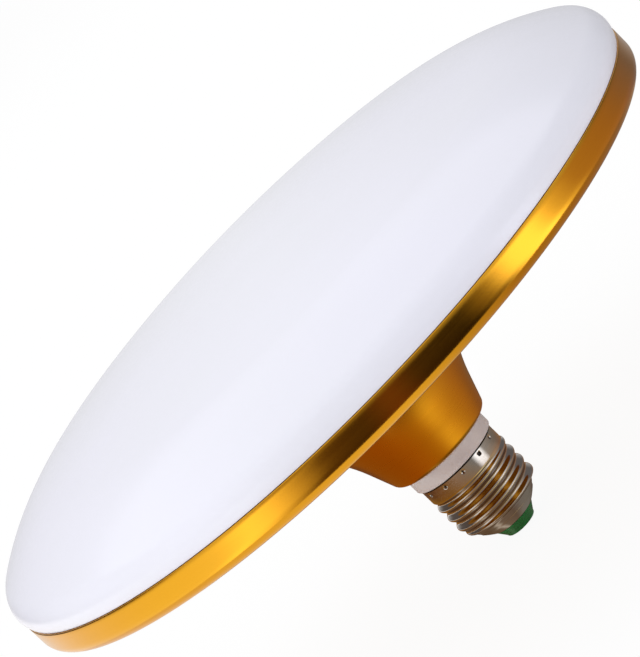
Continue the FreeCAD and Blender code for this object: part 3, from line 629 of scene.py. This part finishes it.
@dataclass
class Pan:
    """Gold housing spun from one sheet: neck, flare, pan and rim band."""

    opening: float = 11.1
    floor: float = 31.75
    floor_bend: float = 2.2
    neck_angle: float = 19.2
    join: float = 19.2
    flare_bend: float = 45.0
    base: float = 70.7
    corner_bend: float = 4.0
    rim: float = 110.0
    rim_top: float = 79.8
    edge_bend: float = 0.3
    wall: float = 1.0
    columns: int = 320
    finish: Finish = Finish(
        "gold_metal", (0.87, 0.43, 0.03), (0.83, 0.40, 0.025), roughness=0.17, roughness_span=0.03,
        metallic=1.0, grain=3200.0, cloud=30.0, relief=0.06, speck_share=0.5, lie=Grain.TURNED,
        satin=0.12, satin_below=68.0,
    )

    def section(self) -> Profile:
        """Closed half section, from the neck's opening out and up to the rim and back inside.

        Returns:
            The profile.
        """
        sine, cosine = math.sin(math.radians(self.neck_angle)), math.cos(math.radians(self.neck_angle))
        join_z = self.base - self.flare_bend * (1 - sine)
        flare_r = self.join + self.flare_bend * cosine
        round_r = (self.join * cosine - join_z * sine - self.floor_bend
                   + (self.floor + self.floor_bend) * sine) / cosine
        inner, inside = self.floor_bend - self.wall, self.rim - self.wall
        inner_corner = self.corner_bend - self.wall
        profile = Profile(self.opening, self.floor)
        line, arc = profile.line, profile.arc
        line(round_r, self.floor, steps=3)
        arc(round_r + self.floor_bend * cosine, self.floor + self.floor_bend * (1 - sine),
            self.floor_bend, Side.LEFT, steps=12)
        line(self.join, join_z, steps=8)
        arc(flare_r, self.base, self.flare_bend, Side.RIGHT, steps=30)
        line(self.rim - self.corner_bend, self.base, steps=12)
        arc(self.rim, self.base + self.corner_bend, self.corner_bend, Side.LEFT, steps=14)
        line(self.rim, self.rim_top - self.edge_bend, steps=4)
        arc(self.rim - self.edge_bend, self.rim_top, self.edge_bend, Side.LEFT, steps=4)
        line(inside, self.rim_top)
        line(inside, self.base + self.corner_bend, steps=2)
        arc(self.rim - self.corner_bend, self.base + self.wall, inner_corner, Side.RIGHT, steps=6)
        line(flare_r, self.base + self.wall, steps=6)
        arc(self.join - self.wall * cosine, join_z + self.wall * sine,
            self.flare_bend + self.wall, Side.LEFT, steps=16)
        line(round_r + inner * cosine, self.floor + self.floor_bend - inner * sine, steps=3)
        arc(round_r, self.floor + self.wall, inner, Side.RIGHT, steps=5)
        line(self.opening, self.floor + self.wall)
        return profile

    def build(self) -> None:
        """Makes the housing and hides the node whose place it takes."""
        piece = put_piece("gold_pan", turned_profile(self.section(), self.columns), self.finish.make())
        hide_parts("housing")


@dataclass
class Cap:
    """Screw cap: rolled sheet with skirt, staking dimples, rounded thread and stepped foot."""

    pitch: float = 3.629
    crest: float = 13.1
    root: float = 12.1
    start: float = 7.8
    end: float = 22.4
    taper: float = 1.7
    fade: float = 1.8
    crest_height: float = 20.85
    skirt: float = 12.75
    skirt_bore: float = 12.25
    top: float = 26.9
    wall: float = 0.35
    lip: float = 6.8
    hole: float = 6.2
    lip_height: float = 3.75
    waist: float = 9.8
    waist_base: float = 6.3
    waist_top: float = 6.6
    heel: float = 10.85
    shoulder_bend: float = 24.0
    heel_bend: float = 8.0
    dimple_height: float = 25.4
    dimple_count: int = 12
    dimple_first: float = 25.25
    dimple_reach: float = 0.62
    dimple_depth: float = 0.42
    dimple_power: float = 0.8
    dimple_span: float = 3.6
    dimple_zone: float = 0.75
    fine_columns: int = 13
    plain_columns: int = 10
    pierced: float = 295.25
    pierced_depth: float = 1.3
    pierced_slope: float = 2.2
    thread_row: float = 0.16
    step: float = 0.05
    edge: float = 0.15
    # Its tint paints shade into the dimples and the collar's shadow along the top edge.
    finish: Finish = PlatingWithPaintedShade(
        "nickel", (0.70, 0.66, 0.61), (0.60, 0.55, 0.50), roughness=0.12, roughness_span=0.03,
        metallic=1.0, grain=1800.0, cloud=160.0, relief=0.02, speck_share=0.3, lie=Grain.TURNED,
    )

    def angles(self) -> np.ndarray:
        """Angles of the columns, closer together where a dimple lies.

        Returns:
            Ascending angles over one turn from the first dimple.
        """
        period = TURN / self.dimple_count
        span = self.dimple_span
        near = np.linspace(-span, span, self.fine_columns)
        far = np.linspace(span, period - span, self.plain_columns)[1:-1]
        one = np.concatenate([near, far])
        steps = np.arange(self.dimple_count)[:, None] * period
        return np.radians((one[None, :] + steps + self.dimple_first).ravel())

    def thread(self, heights: np.ndarray, angles: np.ndarray) -> np.ndarray:
        """Radius of the thread: base + depth * (1 + cos phase) / 2, with the ridge faded out at both ends.

        The base is the root, narrowed towards the foot and widened towards the skirt.

        Args:
            heights: column of heights.
            angles: row of angles.

        Returns:
            Radii, rows by columns.
        """
        rise = np.clip((heights - self.start) / self.fade, 0, 1)
        fall = np.clip((self.end - heights) / self.fade, 0, 1)
        rise, fall = rise**2 * (3 - 2 * rise), fall**2 * (3 - 2 * fall)
        phase = 2 * math.pi * (heights - self.crest_height) / self.pitch - angles
        ridge = (1 + np.cos(phase)) / 2
        narrow = np.clip((self.start + self.taper - heights) / self.taper, 0, 1)
        base = self.root - (self.root - self.heel) * narrow
        return self.skirt + (base - self.skirt) * fall + (self.crest - self.root) * ridge * rise * fall

    def dimples(self, heights: np.ndarray, angles: np.ndarray) -> np.ndarray:
        """Depth of the dimples: depth * (1 - distance / reach)^power round each centre, one of them deeper.

        Args:
            heights: column of heights.
            angles: row of angles.

        Returns:
            Depths, rows by columns.
        """
        period = TURN / self.dimple_count
        turn = (np.degrees(angles) - self.dimple_first + period / 2) % period - period / 2
        away = np.hypot(np.radians(turn) * self.skirt, heights - self.dimple_height)
        pit = np.clip(1 - away / self.dimple_reach, 0, 1)
        to_hole = np.abs((np.degrees(angles) - self.pierced + TURN / 2) % TURN - TURN / 2) < period / 2
        deep = np.where(to_hole, self.pierced_depth * np.clip(pit * self.pierced_slope, 0, 1), 0.0)
        return np.maximum(self.dimple_depth * pit**self.dimple_power, deep)

    def section(self) -> tuple[np.ndarray, int]:
        """Half section from the hole's edge up the outside and back down the inside.

        Returns:
            Points of (radius, height), thread rows without their ridge, and how many lie outside.
        """
        bore, waist, inner_lip = self.root - self.wall, self.waist - self.wall, self.lip_height + self.wall
        rows = int((self.end - self.start) / self.thread_row)
        profile = Profile(self.hole, self.lip_height)
        line, arc = profile.line, profile.arc
        line(self.lip, self.lip_height, steps=2)
        arc(self.waist, self.waist_base, self.shoulder_bend, Side.LEFT, steps=10)
        line(self.waist, self.waist_top, steps=3)
        arc(self.heel, self.start, self.heel_bend, Side.LEFT, steps=6)
        line(self.heel, self.end, steps=rows)
        line(self.skirt, self.end + self.step)
        line(self.skirt, self.dimple_height - self.dimple_zone, steps=8)
        line(self.skirt, self.dimple_height + self.dimple_zone, steps=13)
        line(self.skirt, self.top - self.edge, steps=2)
        arc(self.skirt - self.edge, self.top, self.edge, Side.LEFT, steps=3)
        outside = len(profile.points())
        line(self.skirt_bore, self.top)
        line(self.skirt_bore, self.end, steps=2)
        line(bore, self.end)
        line(bore, self.start + self.taper, steps=4)
        line(self.heel - self.wall, self.start)
        arc(waist, self.waist_top, self.heel_bend - self.wall, Side.RIGHT, steps=4)
        line(waist, self.waist_base)
        arc(self.lip, inner_lip, self.shoulder_bend - self.wall, Side.RIGHT, steps=5)
        line(self.hole, inner_lip)
        return profile.points(), outside

    def skin(self) -> Skin:
        """Section turned about the axis, with the thread and the dimples as changes of radius.

        Returns:
            The closed surface.
        """
        (points, count), angles = self.section(), self.angles()
        heights = points[:, 1:]
        radii = np.repeat(points[:, :1], len(angles), axis=1)
        outside = np.arange(len(points)) < count
        threaded = outside & (points[:, 1] >= self.start) & (points[:, 1] <= self.end)
        radii[threaded] = self.thread(heights[threaded], angles)
        dimpled = outside & (np.abs(points[:, 1] - self.dimple_height) < self.dimple_zone)
        radii[dimpled] -= self.dimples(heights[dimpled], angles)
        return turned_skin(radii, heights, angles)

    def build(self) -> None:
        """Makes the cap and hides the node whose place it takes."""
        piece = put_piece("nickel_cap", self.skin(), self.finish.make(), sharp=55.0)
        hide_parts("screw_cap")


@dataclass
class Collar:
    """Sleeve: collar between neck and cap, spigot in the cap and barrel in the neck."""

    collar: float = 13.5
    base: float = 26.9
    top: float = 31.75
    edge: float = 0.35
    spigot: float = 11.95
    tail: float = 11.45
    step: float = 22.7
    foot: float = 14.0
    floor: float = 15.0
    opening: float = 8.4
    bore: float = 9.6
    barrel: float = 10.8
    barrel_top: float = 44.45
    columns: int = 192
    finish: Finish = Finish(
        "white_plastic", (0.79, 0.76, 0.76), (0.64, 0.58, 0.585), roughness=0.42, roughness_span=0.06,
        grain=2200.0, cloud=90.0, relief=0.05,
    )

    def section(self) -> Profile:
        """Closed half section from the foot up the outside and down the bore.

        Returns:
            The profile.
        """
        profile = Profile(self.opening, self.foot)
        line, arc = profile.line, profile.arc
        line(self.tail, self.foot)
        line(self.tail, self.step, steps=3)
        line(self.spigot, self.step)
        line(self.spigot, self.base)
        line(self.collar - self.edge, self.base)
        arc(self.collar, self.base + self.edge, self.edge, Side.LEFT, steps=5)
        line(self.collar, self.top, steps=4)
        line(self.barrel, self.top)
        line(self.barrel, self.barrel_top, steps=4)
        line(self.bore, self.barrel_top)
        line(self.bore, self.floor, steps=4)
        line(self.opening, self.floor)
        return profile

    def build(self) -> None:
        """Makes the sleeve and hides the node whose place it takes."""
        piece = put_piece("collar", turned_profile(self.section(), self.columns), self.finish.make())
        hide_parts("sleeve")


@dataclass
class Insulator:
    """Green cone at the end of the cap."""

    foot: float = 0.4
    foot_radius: float = 4.9
    edge: float = 0.6
    shoulder: float = 3.75
    shoulder_radius: float = 6.7
    shoulder_edge: float = 0.15
    edge_start: Span = (0.05, 0.2)
    neck: float = 6.1
    flange_base: float = 5.15
    flange: float = 7.4
    top: float = 6.55
    hole: float = 1.2
    pocket: float = 3.5
    pocket_top: float = 0.8
    columns: int = 128
    finish: Finish = Finish(
        "green_plastic", (0.02, 0.2, 0.045), (0.015, 0.14, 0.035), roughness=0.3, roughness_span=0.06,
        grain=1800.0, relief=0.06,
    )

    def section(self) -> Profile:
        """Closed half section from the pocket of the contact up the outside and down the hole.

        Returns:
            The profile.
        """
        (inward, down), edge = self.edge_start, self.shoulder_edge
        profile = Profile(self.pocket, self.foot)
        line, arc = profile.line, profile.arc
        line(self.foot_radius - self.edge, self.foot, steps=2)
        arc(self.foot_radius, self.foot + self.edge, self.edge, Side.LEFT, steps=6)
        line(self.shoulder_radius - inward, self.shoulder - down, steps=4)
        arc(self.shoulder_radius - edge, self.shoulder, edge, Side.LEFT, steps=3)
        line(self.neck, self.shoulder)
        line(self.neck, self.flange_base)
        line(self.flange, self.flange_base)
        line(self.flange, self.top)
        line(self.hole, self.top)
        line(self.hole, self.pocket_top)
        line(self.pocket, self.pocket_top)
        return profile

    def build(self) -> None:
        """Makes the insulator and hides the node whose place it takes."""
        piece = put_piece("green_cone", turned_profile(self.section(), self.columns), self.finish.make())
        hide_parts("cap_insulator")


@dataclass
class Inside:
    """Hidden pieces that stay as the frame has them: each finish, and the nodes that get it."""

    dress: dict[Finish, list[str]] = field(default_factory=lambda: {
        Finish("contact_metal", (0.62, 0.60, 0.56), (0.52, 0.50, 0.47), roughness=0.3, metallic=1.0,
               cloud=300.0, relief=0.05): ["centre_contact"],
        Finish("nut_plastic", (0.80, 0.79, 0.77), (0.74, 0.73, 0.71), roughness=0.45,
               cloud=80.0): ["lock_nut"],
        Finish("white_mask", (0.86, 0.87, 0.86), (0.80, 0.81, 0.80), roughness=0.35, grain=1500.0,
               cloud=40.0): ["led_board"],
        Finish("phosphor", (0.90, 0.76, 0.22), (0.84, 0.68, 0.18), roughness=0.35, grain=4000.0,
               cloud=400.0): ["led_ring_inner", "led_ring_middle", "led_ring_outer"],
        Finish("zinc_steel", (0.60, 0.60, 0.62), (0.50, 0.50, 0.52), roughness=0.32, metallic=1.0,
               cloud=250.0): ["board_screws"],
        Finish("nylon", (0.82, 0.80, 0.74), (0.76, 0.74, 0.68), roughness=0.5, cloud=150.0): ["lead_header"],
        Finish("green_mask", (0.05, 0.24, 0.10), (0.04, 0.19, 0.08), roughness=0.35,
               grain=1500.0): ["driver_board"],
        Finish("resistor_coat", (0.30, 0.44, 0.48), (0.26, 0.38, 0.42), roughness=0.45,
               cloud=400.0): ["fuse_resistor"],
        Finish("moulded_black", (0.02, 0.02, 0.022), (0.03, 0.03, 0.032), roughness=0.55, grain=3500.0,
               cloud=300.0): ["bridge_rectifier", "driver_chip", "output_diode"],
        Finish("shrink_sleeve", (0.02, 0.025, 0.05), (0.03, 0.035, 0.06),
               roughness=0.3): ["input_capacitor", "output_capacitor"],
        Finish("film_case", (0.66, 0.42, 0.04), (0.58, 0.36, 0.035), roughness=0.35,
               cloud=250.0): ["film_capacitor"],
        Finish("ferrite", (0.035, 0.035, 0.038), (0.06, 0.06, 0.065), roughness=0.6, grain=3000.0,
               cloud=250.0): ["inductor_core"],
        Finish("winding_tape", (0.72, 0.48, 0.06), (0.64, 0.42, 0.05)): ["inductor_winding"],
        Finish("lead_red", (0.48, 0.012, 0.01), (0.42, 0.01, 0.008)): ["live_lead", "positive_lead"],
        Finish("lead_blue", (0.015, 0.05, 0.40), (0.012, 0.04, 0.34)): ["neutral_lead"],
        Finish("lead_black", (0.02, 0.02, 0.02), (0.03, 0.03, 0.03), roughness=0.45): ["negative_lead"],
    })

    def build(self) -> None:
        """Gives each hidden node its finish."""
        for finish, names in self.dress.items():
            material = finish.make()
            for name in names:
                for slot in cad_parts[name].material_slots:
                    slot.material = material
                log.info("%s dressed as %s", name, finish.name)


# Studio


@dataclass(frozen=True)
class Surround:
    """What polished metal sees of the studio: tones of the floor by distance, of a card and of a wall.

    A row of a ramp is a direction in degrees from the front, right positive, then red, green and blue.
    A reach is the pair of distances from the axis between which one tone of the floor turns to the next.
    """

    far: Ramp = (
        (-180, 0.72, 0.72, 0.72), (-130, 1.0, 0.95, 0.9), (-75, 1.08, 1.07, 0.9), (-56, 1.15, 1.15, 1.1),
        (-46, 1.7, 1.7, 1.6), (-38, 1.4, 1.35, 1.3), (-30, 0.7, 0.6, 0.5), (-22, 0.1, 0.06, 0.05),
        (-8, 0.05, 0.032, 0.03), (0, 0.17, 0.07, 0.05), (8, 0.04, 0.026, 0.03), (25, 0.02, 0.015, 0.02),
        (34, 0.3, 0.24, 0.2), (42, 2.0, 2.0, 2.2), (52, 2.1, 2.1, 2.2), (60, 0.9, 0.82, 0.7),
        (71, 0.47, 0.33, 0.28), (95, 0.37, 0.24, 0.2), (110, 0.27, 0.19, 0.2), (130, 0.18, 0.15, 0.15),
    )
    # Near the axis these tones are mostly darker and warmer: a painted shadow of the pan on the floor,
    # tinted warm by the pan.
    skirt: Ramp = (
        (-180, 0.2, 0.1, 0.05), (-115, 0.13, 0.05, 0.02), (-86, 0.22, 0.09, 0.03), (-57, 0.27, 0.13, 0.045),
        (-29, 0.34, 0.21, 0.13), (0, 0.3, 0.23, 0.17), (26, 0.24, 0.24, 0.24), (38, 1.8, 1.85, 1.95),
        (54, 1.8, 1.85, 1.95), (64, 0.4, 0.38, 0.36), (86, 0.3, 0.27, 0.24), (115, 0.21, 0.19, 0.16),
    )
    neck_high: Ramp = (
        (-180, 0.3, 0.14, 0.03), (-76, 0.3, 0.12, 0.01), (-34, 0.36, 0.155, 0.01), (0, 0.39, 0.21, 0.07),
        (17, 0.38, 0.21, 0.06), (34, 0.42, 0.25, 0.09), (51, 0.48, 0.3, 0.12), (85, 0.46, 0.28, 0.16),
        (120, 0.26, 0.15, 0.1),
    )
    neck_low: Ramp = (
        (-180, 0.3, 0.14, 0.03), (-76, 0.34, 0.13, 0.01), (-34, 0.42, 0.19, 0.02), (-14, 0.46, 0.26, 0.05),
        (0, 0.58, 0.37, 0.12), (12, 0.9, 0.72, 0.32), (22, 1.1, 0.95, 0.5), (32, 1.05, 0.88, 0.45),
        (44, 0.84, 0.64, 0.34), (60, 0.62, 0.46, 0.26), (85, 0.45, 0.3, 0.2), (120, 0.26, 0.15, 0.1),
    )
    foot: Ramp = (
        (-180, 0.12, 0.07, 0.04), (-85, 0.15, 0.09, 0.05), (-62, 0.2, 0.14, 0.09), (-48, 0.55, 0.46, 0.37),
        (-34, 0.22, 0.15, 0.1), (10, 0.16, 0.105, 0.07), (40, 0.22, 0.19, 0.16), (80, 0.21, 0.19, 0.16),
        (120, 0.14, 0.1, 0.08),
    )
    card: Ramp = (
        (-180, 0.8, 0.75, 0.7), (-78, 0.88, 0.8, 0.74), (-30, 0.88, 0.8, 0.66), (2, 0.85, 0.78, 0.6),
        (10, 0.72, 0.64, 0.46), (18, 0.55, 0.46, 0.32), (28, 0.44, 0.33, 0.22), (50, 0.36, 0.25, 0.17),
        (78, 0.26, 0.19, 0.16), (120, 0.4, 0.33, 0.28),
    )
    wall: Ramp = (
        (-180, 0.72, 0.72, 0.72), (-140, 0.12, 0.1, 0.09), (-95, 0.1, 0.08, 0.07), (-80, 0.4, 0.33, 0.28),
        (-70, 0.8, 0.78, 0.75), (-52, 0.8, 0.78, 0.75), (-42, 0.5, 0.42, 0.36), (-20, 0.25, 0.21, 0.18),
        (0, 0.28, 0.25, 0.23), (28, 0.4, 0.38, 0.36), (40, 0.78, 0.78, 0.78), (58, 0.8, 0.8, 0.8),
        (72, 0.6, 0.6, 0.6), (84, 0.4, 0.39, 0.38), (105, 0.15, 0.14, 0.14), (140, 0.15, 0.14, 0.14),
    )
    low_reach: Span = (0.032, 0.037)
    high_reach: Span = (0.046, 0.061)
    skirt_reach: Span = (0.090, 0.097)
    far_reach: Span = (0.150, 0.172)
    edge_reach: Span = (0.6, 1.0)
    card_reach: Span = (0.076, 0.134)
    card_height: float = 0.040
    wall_reach: float = 1.3
    wall_height: float = 1.1
    # Painted shade, and its share, for what a reflection sees of the floor in another reflection.
    second_reflection_shade: Colour = (0.1, 0.04, 0.015)
    second_reflection_shade_share: float = 0.8
    columns: int = 96

    @staticmethod
    def polar(nodes: Nodes) -> tuple[Socket, Socket]:
        """Distance from the axis, and direction as a share of a turn from the back round by the left.

        Args:
            nodes: helper of the material.

        Returns:
            Distance and share.
        """
        x, y, _ = nodes.place()
        turn = nodes.math("ARCTAN2", x, nodes.math("MULTIPLY", y, -1.0))
        return nodes.distance(x, y), nodes.math("MULTIPLY_ADD", turn, 0.5 / math.pi, 0.5)

    @staticmethod
    def ramp(nodes: Nodes, share: Socket, tones: Ramp) -> Socket:
        """Colour ramp of some rows, with the first colour again where the turn ends.

        Args:
            nodes: helper of the material.
            share: direction as a share of a turn.
            tones: the rows.

        Returns:
            Colour.
        """
        node = nodes.add("ShaderNodeValToRGB")
        nodes.put(share, node.inputs[0])
        elements = node.color_ramp.elements
        while len(elements) > 1:
            elements.remove(elements[-1])
        for index, (direction, *colour) in enumerate((*tones, (TURN / 2, *tones[0][1:]))):
            place = (direction + TURN / 2) / TURN
            element = elements[0] if index == 0 else elements.new(place)
            element.position = place
            element.color = opaque(colour)
        return node.outputs[0]

    def floor_tone(self, nodes: Nodes) -> Socket:
        """Painted tone of the floor that metal sees, from the foot's part outwards: near the axis it is
        mostly darker and warmer, a painted shadow of the pan, and a reflection seen in another one gets a
        painted shade.

        Args:
            nodes: helper of the material.

        Returns:
            Colour.
        """
        distance, share = self.polar(nodes)
        tone = self.ramp(nodes, share, self.foot)
        for reach, tones in ((self.low_reach, self.neck_low), (self.high_reach, self.neck_high),
                             (self.skirt_reach, self.skirt), (self.far_reach, self.far),
                             (self.edge_reach, self.wall)):
            step = nodes.spread(distance, *reach, to=(0.0, 1.0))
            tone = nodes.blend(step, tone, self.ramp(nodes, share, tones))
        # Painted shade for reflections seen in another reflection.
        reflection_shade = nodes.math("MULTIPLY", nodes.mirrored_again(), self.second_reflection_shade_share)
        return nodes.blend(reflection_shade, tone, opaque(self.second_reflection_shade))

    def put_ring(self, name: str, low: Span, high: Span, tones: Ramp, one_sided: bool) -> None:
        """Ring between two circles (r cos a, r sin a, z) that only reflections see.

        Args:
            name: name of the ring.
            low: radius and height of its first circle.
            high: radius and height of its second circle.
            tones: its tones round the lamp.
            one_sided: whether only its front and only a first reflection sees it.
        """
        angles = even_angles(self.columns)
        circles = [np.column_stack([np.cos(angles) * radius, np.sin(angles) * radius,
                                    np.full(self.columns, height)]) for radius, height in (low, high)]
        mesh = bpy.data.meshes.new(name)
        mesh.from_pydata(np.vstack(circles).tolist(), [], wrap_grid(2, self.columns, False).tolist())
        material = bpy.data.materials.new(name)
        nodes = clear_nodes(material)
        _, share = self.polar(nodes)
        surface = nodes.glow(self.ramp(nodes, share, tones))
        if one_sided:
            back = nodes.add("ShaderNodeNewGeometry").outputs["Backfacing"]
            hidden = nodes.math("MAXIMUM", nodes.mirrored_again(), back)
            surface = nodes.either(hidden, surface, nodes.add("ShaderNodeBsdfTransparent").outputs[0])
        nodes.show(surface)
        mesh.materials.append(material)
        ring = put_object(name, mesh)
        for ray in ("camera", "diffuse", "shadow", "transmission"):
            setattr(ring, f"visible_{ray}", False)

    def build(self) -> None:
        """Puts up the wall round the lamp and the card under its rim."""
        self.put_ring("wall", (self.wall_reach, 0.0), (self.wall_reach, self.wall_height), self.wall, False)
        inner, outer = self.card_reach
        self.put_ring("card", (outer, self.card_height), (inner, self.card_height), self.card, True)


@dataclass(frozen=True)
class SoftLamp:
    """Area lamp that faces a point on the axis and doesn't glare in the gloss."""

    name: str
    place: tuple[float, float, float]
    size: Span
    power: float
    aim: float = 0.07

    def build(self) -> None:
        """Hangs the lamp at its place, turned to its aim."""
        data = bpy.data.lights.new(self.name, "AREA")
        data.shape = "RECTANGLE"
        data.size, data.size_y = self.size
        data.energy = self.power
        lamp = put_object(self.name, data)
        lamp.location = self.place
        ahead = Vector((0, 0, self.aim)) - Vector(self.place)
        lamp.rotation_euler = ahead.to_track_quat("-Z", "Y").to_euler()
        lamp.visible_glossy = False


@dataclass
class Studio:
    """Pale floor, soft lamps, a surround for the metal and the camera at the photo's angle.

    The camera's place is in millimetres, and focal is its focal length in pixels of the picture.
    The floor's reach and the clip distances are metres.
    """

    distance: float = 930.0
    focal: float = 3516.0
    elevation: float = 11.73
    roll: float = 45.92
    aside: float = 0.12
    below: float = 2.36
    eye_level: float = 79.8
    picture: tuple[int, int] = (640, 657)
    sensor: float = 36.0
    clip: Span = (0.05, 50.0)
    white: Colour = (1.0, 1.0, 1.0)
    paper: tuple[Colour, Colour] = ((0.90, 0.90, 0.90), (0.93, 0.93, 0.93))
    paper_cloud: float = 2.0
    paper_glow: float = 0.93
    floor_reach: float = 6.0
    world_tone: Colour = (0.97, 0.975, 1.0)
    world_light: float = 0.85
    lamps: tuple[SoftLamp, ...] = (
        SoftLamp("left_window", (-1.3, -0.5, 0.8), (1.9, 1.4), 6.5),
        SoftLamp("back_soft", (-0.2, 0.9, 1.2), (2.4, 2.4), 8.0),
    )
    surround: Surround = Surround()

    def build_floor(self) -> None:
        """Pale floor that keeps the lamp's shadow: white glow for the camera, and for metal painted studio
        tones with a painted shadow of the pan.
        """
        mesh = bpy.data.meshes.new("floor")
        edge = self.floor_reach
        mesh.from_pydata([(-edge, -edge, 0), (edge, -edge, 0), (edge, edge, 0), (-edge, edge, 0)], [],
                         [(0, 1, 2, 3)])
        material = bpy.data.materials.new("floor")
        nodes = clear_nodes(material)
        cloud = nodes.add("ShaderNodeTexNoise", Scale=self.paper_cloud).outputs[0]
        tone = nodes.blend(cloud, opaque(self.paper[0]), opaque(self.paper[1]))
        paper = nodes.add("ShaderNodeBsdfDiffuse", Color=tone).outputs[0]
        glow = nodes.math("MULTIPLY", nodes.seen(), self.paper_glow)
        lit = nodes.either(glow, paper, nodes.glow(opaque(self.white)))
        mirrored = nodes.add("ShaderNodeLightPath").outputs["Is Glossy Ray"]
        nodes.show(nodes.either(mirrored, lit, nodes.glow(self.surround.floor_tone(nodes))))
        mesh.materials.append(material)
        put_object("floor", mesh)

    def build_world(self) -> None:
        """Even soft light from all round, shown white to the camera."""
        world = bpy.data.worlds.new("studio")
        bpy.context.scene.world = world
        nodes = clear_nodes(world)
        soft, white = (nodes.add("ShaderNodeBackground", Color=opaque(tone), Strength=strength)
                       for tone, strength in ((self.world_tone, self.world_light), (self.white, 1.0)))
        nodes.show(nodes.either(nodes.seen(), soft.outputs[0], white.outputs[0]), "ShaderNodeOutputWorld")

    def build_camera(self) -> None:
        """Camera from the fit of the photo: it looks along the tilt and is rolled clockwise."""
        tilt, roll = math.radians(self.elevation), math.radians(self.roll)
        ahead = Vector((0.0, math.cos(tilt), -math.sin(tilt)))
        right = Vector((1.0, 0.0, 0.0))
        up = Vector((0.0, math.sin(tilt), math.cos(tilt)))
        target = Vector((-self.aside, 0.0, self.eye_level)) - up * self.below
        place = (target - ahead * self.distance) * MILLIMETRE
        across = right * math.cos(roll) - up * math.sin(roll)
        upward = right * math.sin(roll) + up * math.cos(roll)
        data = bpy.data.cameras.new("camera")
        data.sensor_width = self.sensor
        data.lens = self.focal * self.sensor / max(self.picture)
        data.clip_start, data.clip_end = self.clip
        camera = put_object("camera", data)
        turn = Matrix((across, upward, -ahead)).transposed().to_4x4()
        camera.matrix_world = Matrix.Translation(place) @ turn
        bpy.context.scene.camera = camera

    def build(self) -> None:
        """Sets up floor, world, lamps, surround and camera."""
        self.build_floor()
        self.build_world()
        for lamp in self.lamps:
            lamp.build()
        self.surround.build()
        self.build_camera()
        bpy.context.scene.view_settings.view_transform = "Standard"


def corners(box: tuple[Vector, Vector]) -> list[list[float]]:
    """Lowest and highest corner as plain numbers."""
    return [list(map(float, corner)) for corner in box]


def main() -> None:
    """Builds the pieces in order, then the studio."""
    logging.basicConfig(level=logging.INFO, format="%(name)s %(message)s")
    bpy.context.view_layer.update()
    for assembly in (Dome(), Pan(), Collar(), Cap(), Insulator(), Inside()):
        assembly.build()
        log.info("%s built", type(assembly).__name__)
    Studio().build()
    log.info("scene ready")


if __name__ == "__main__":
    main()
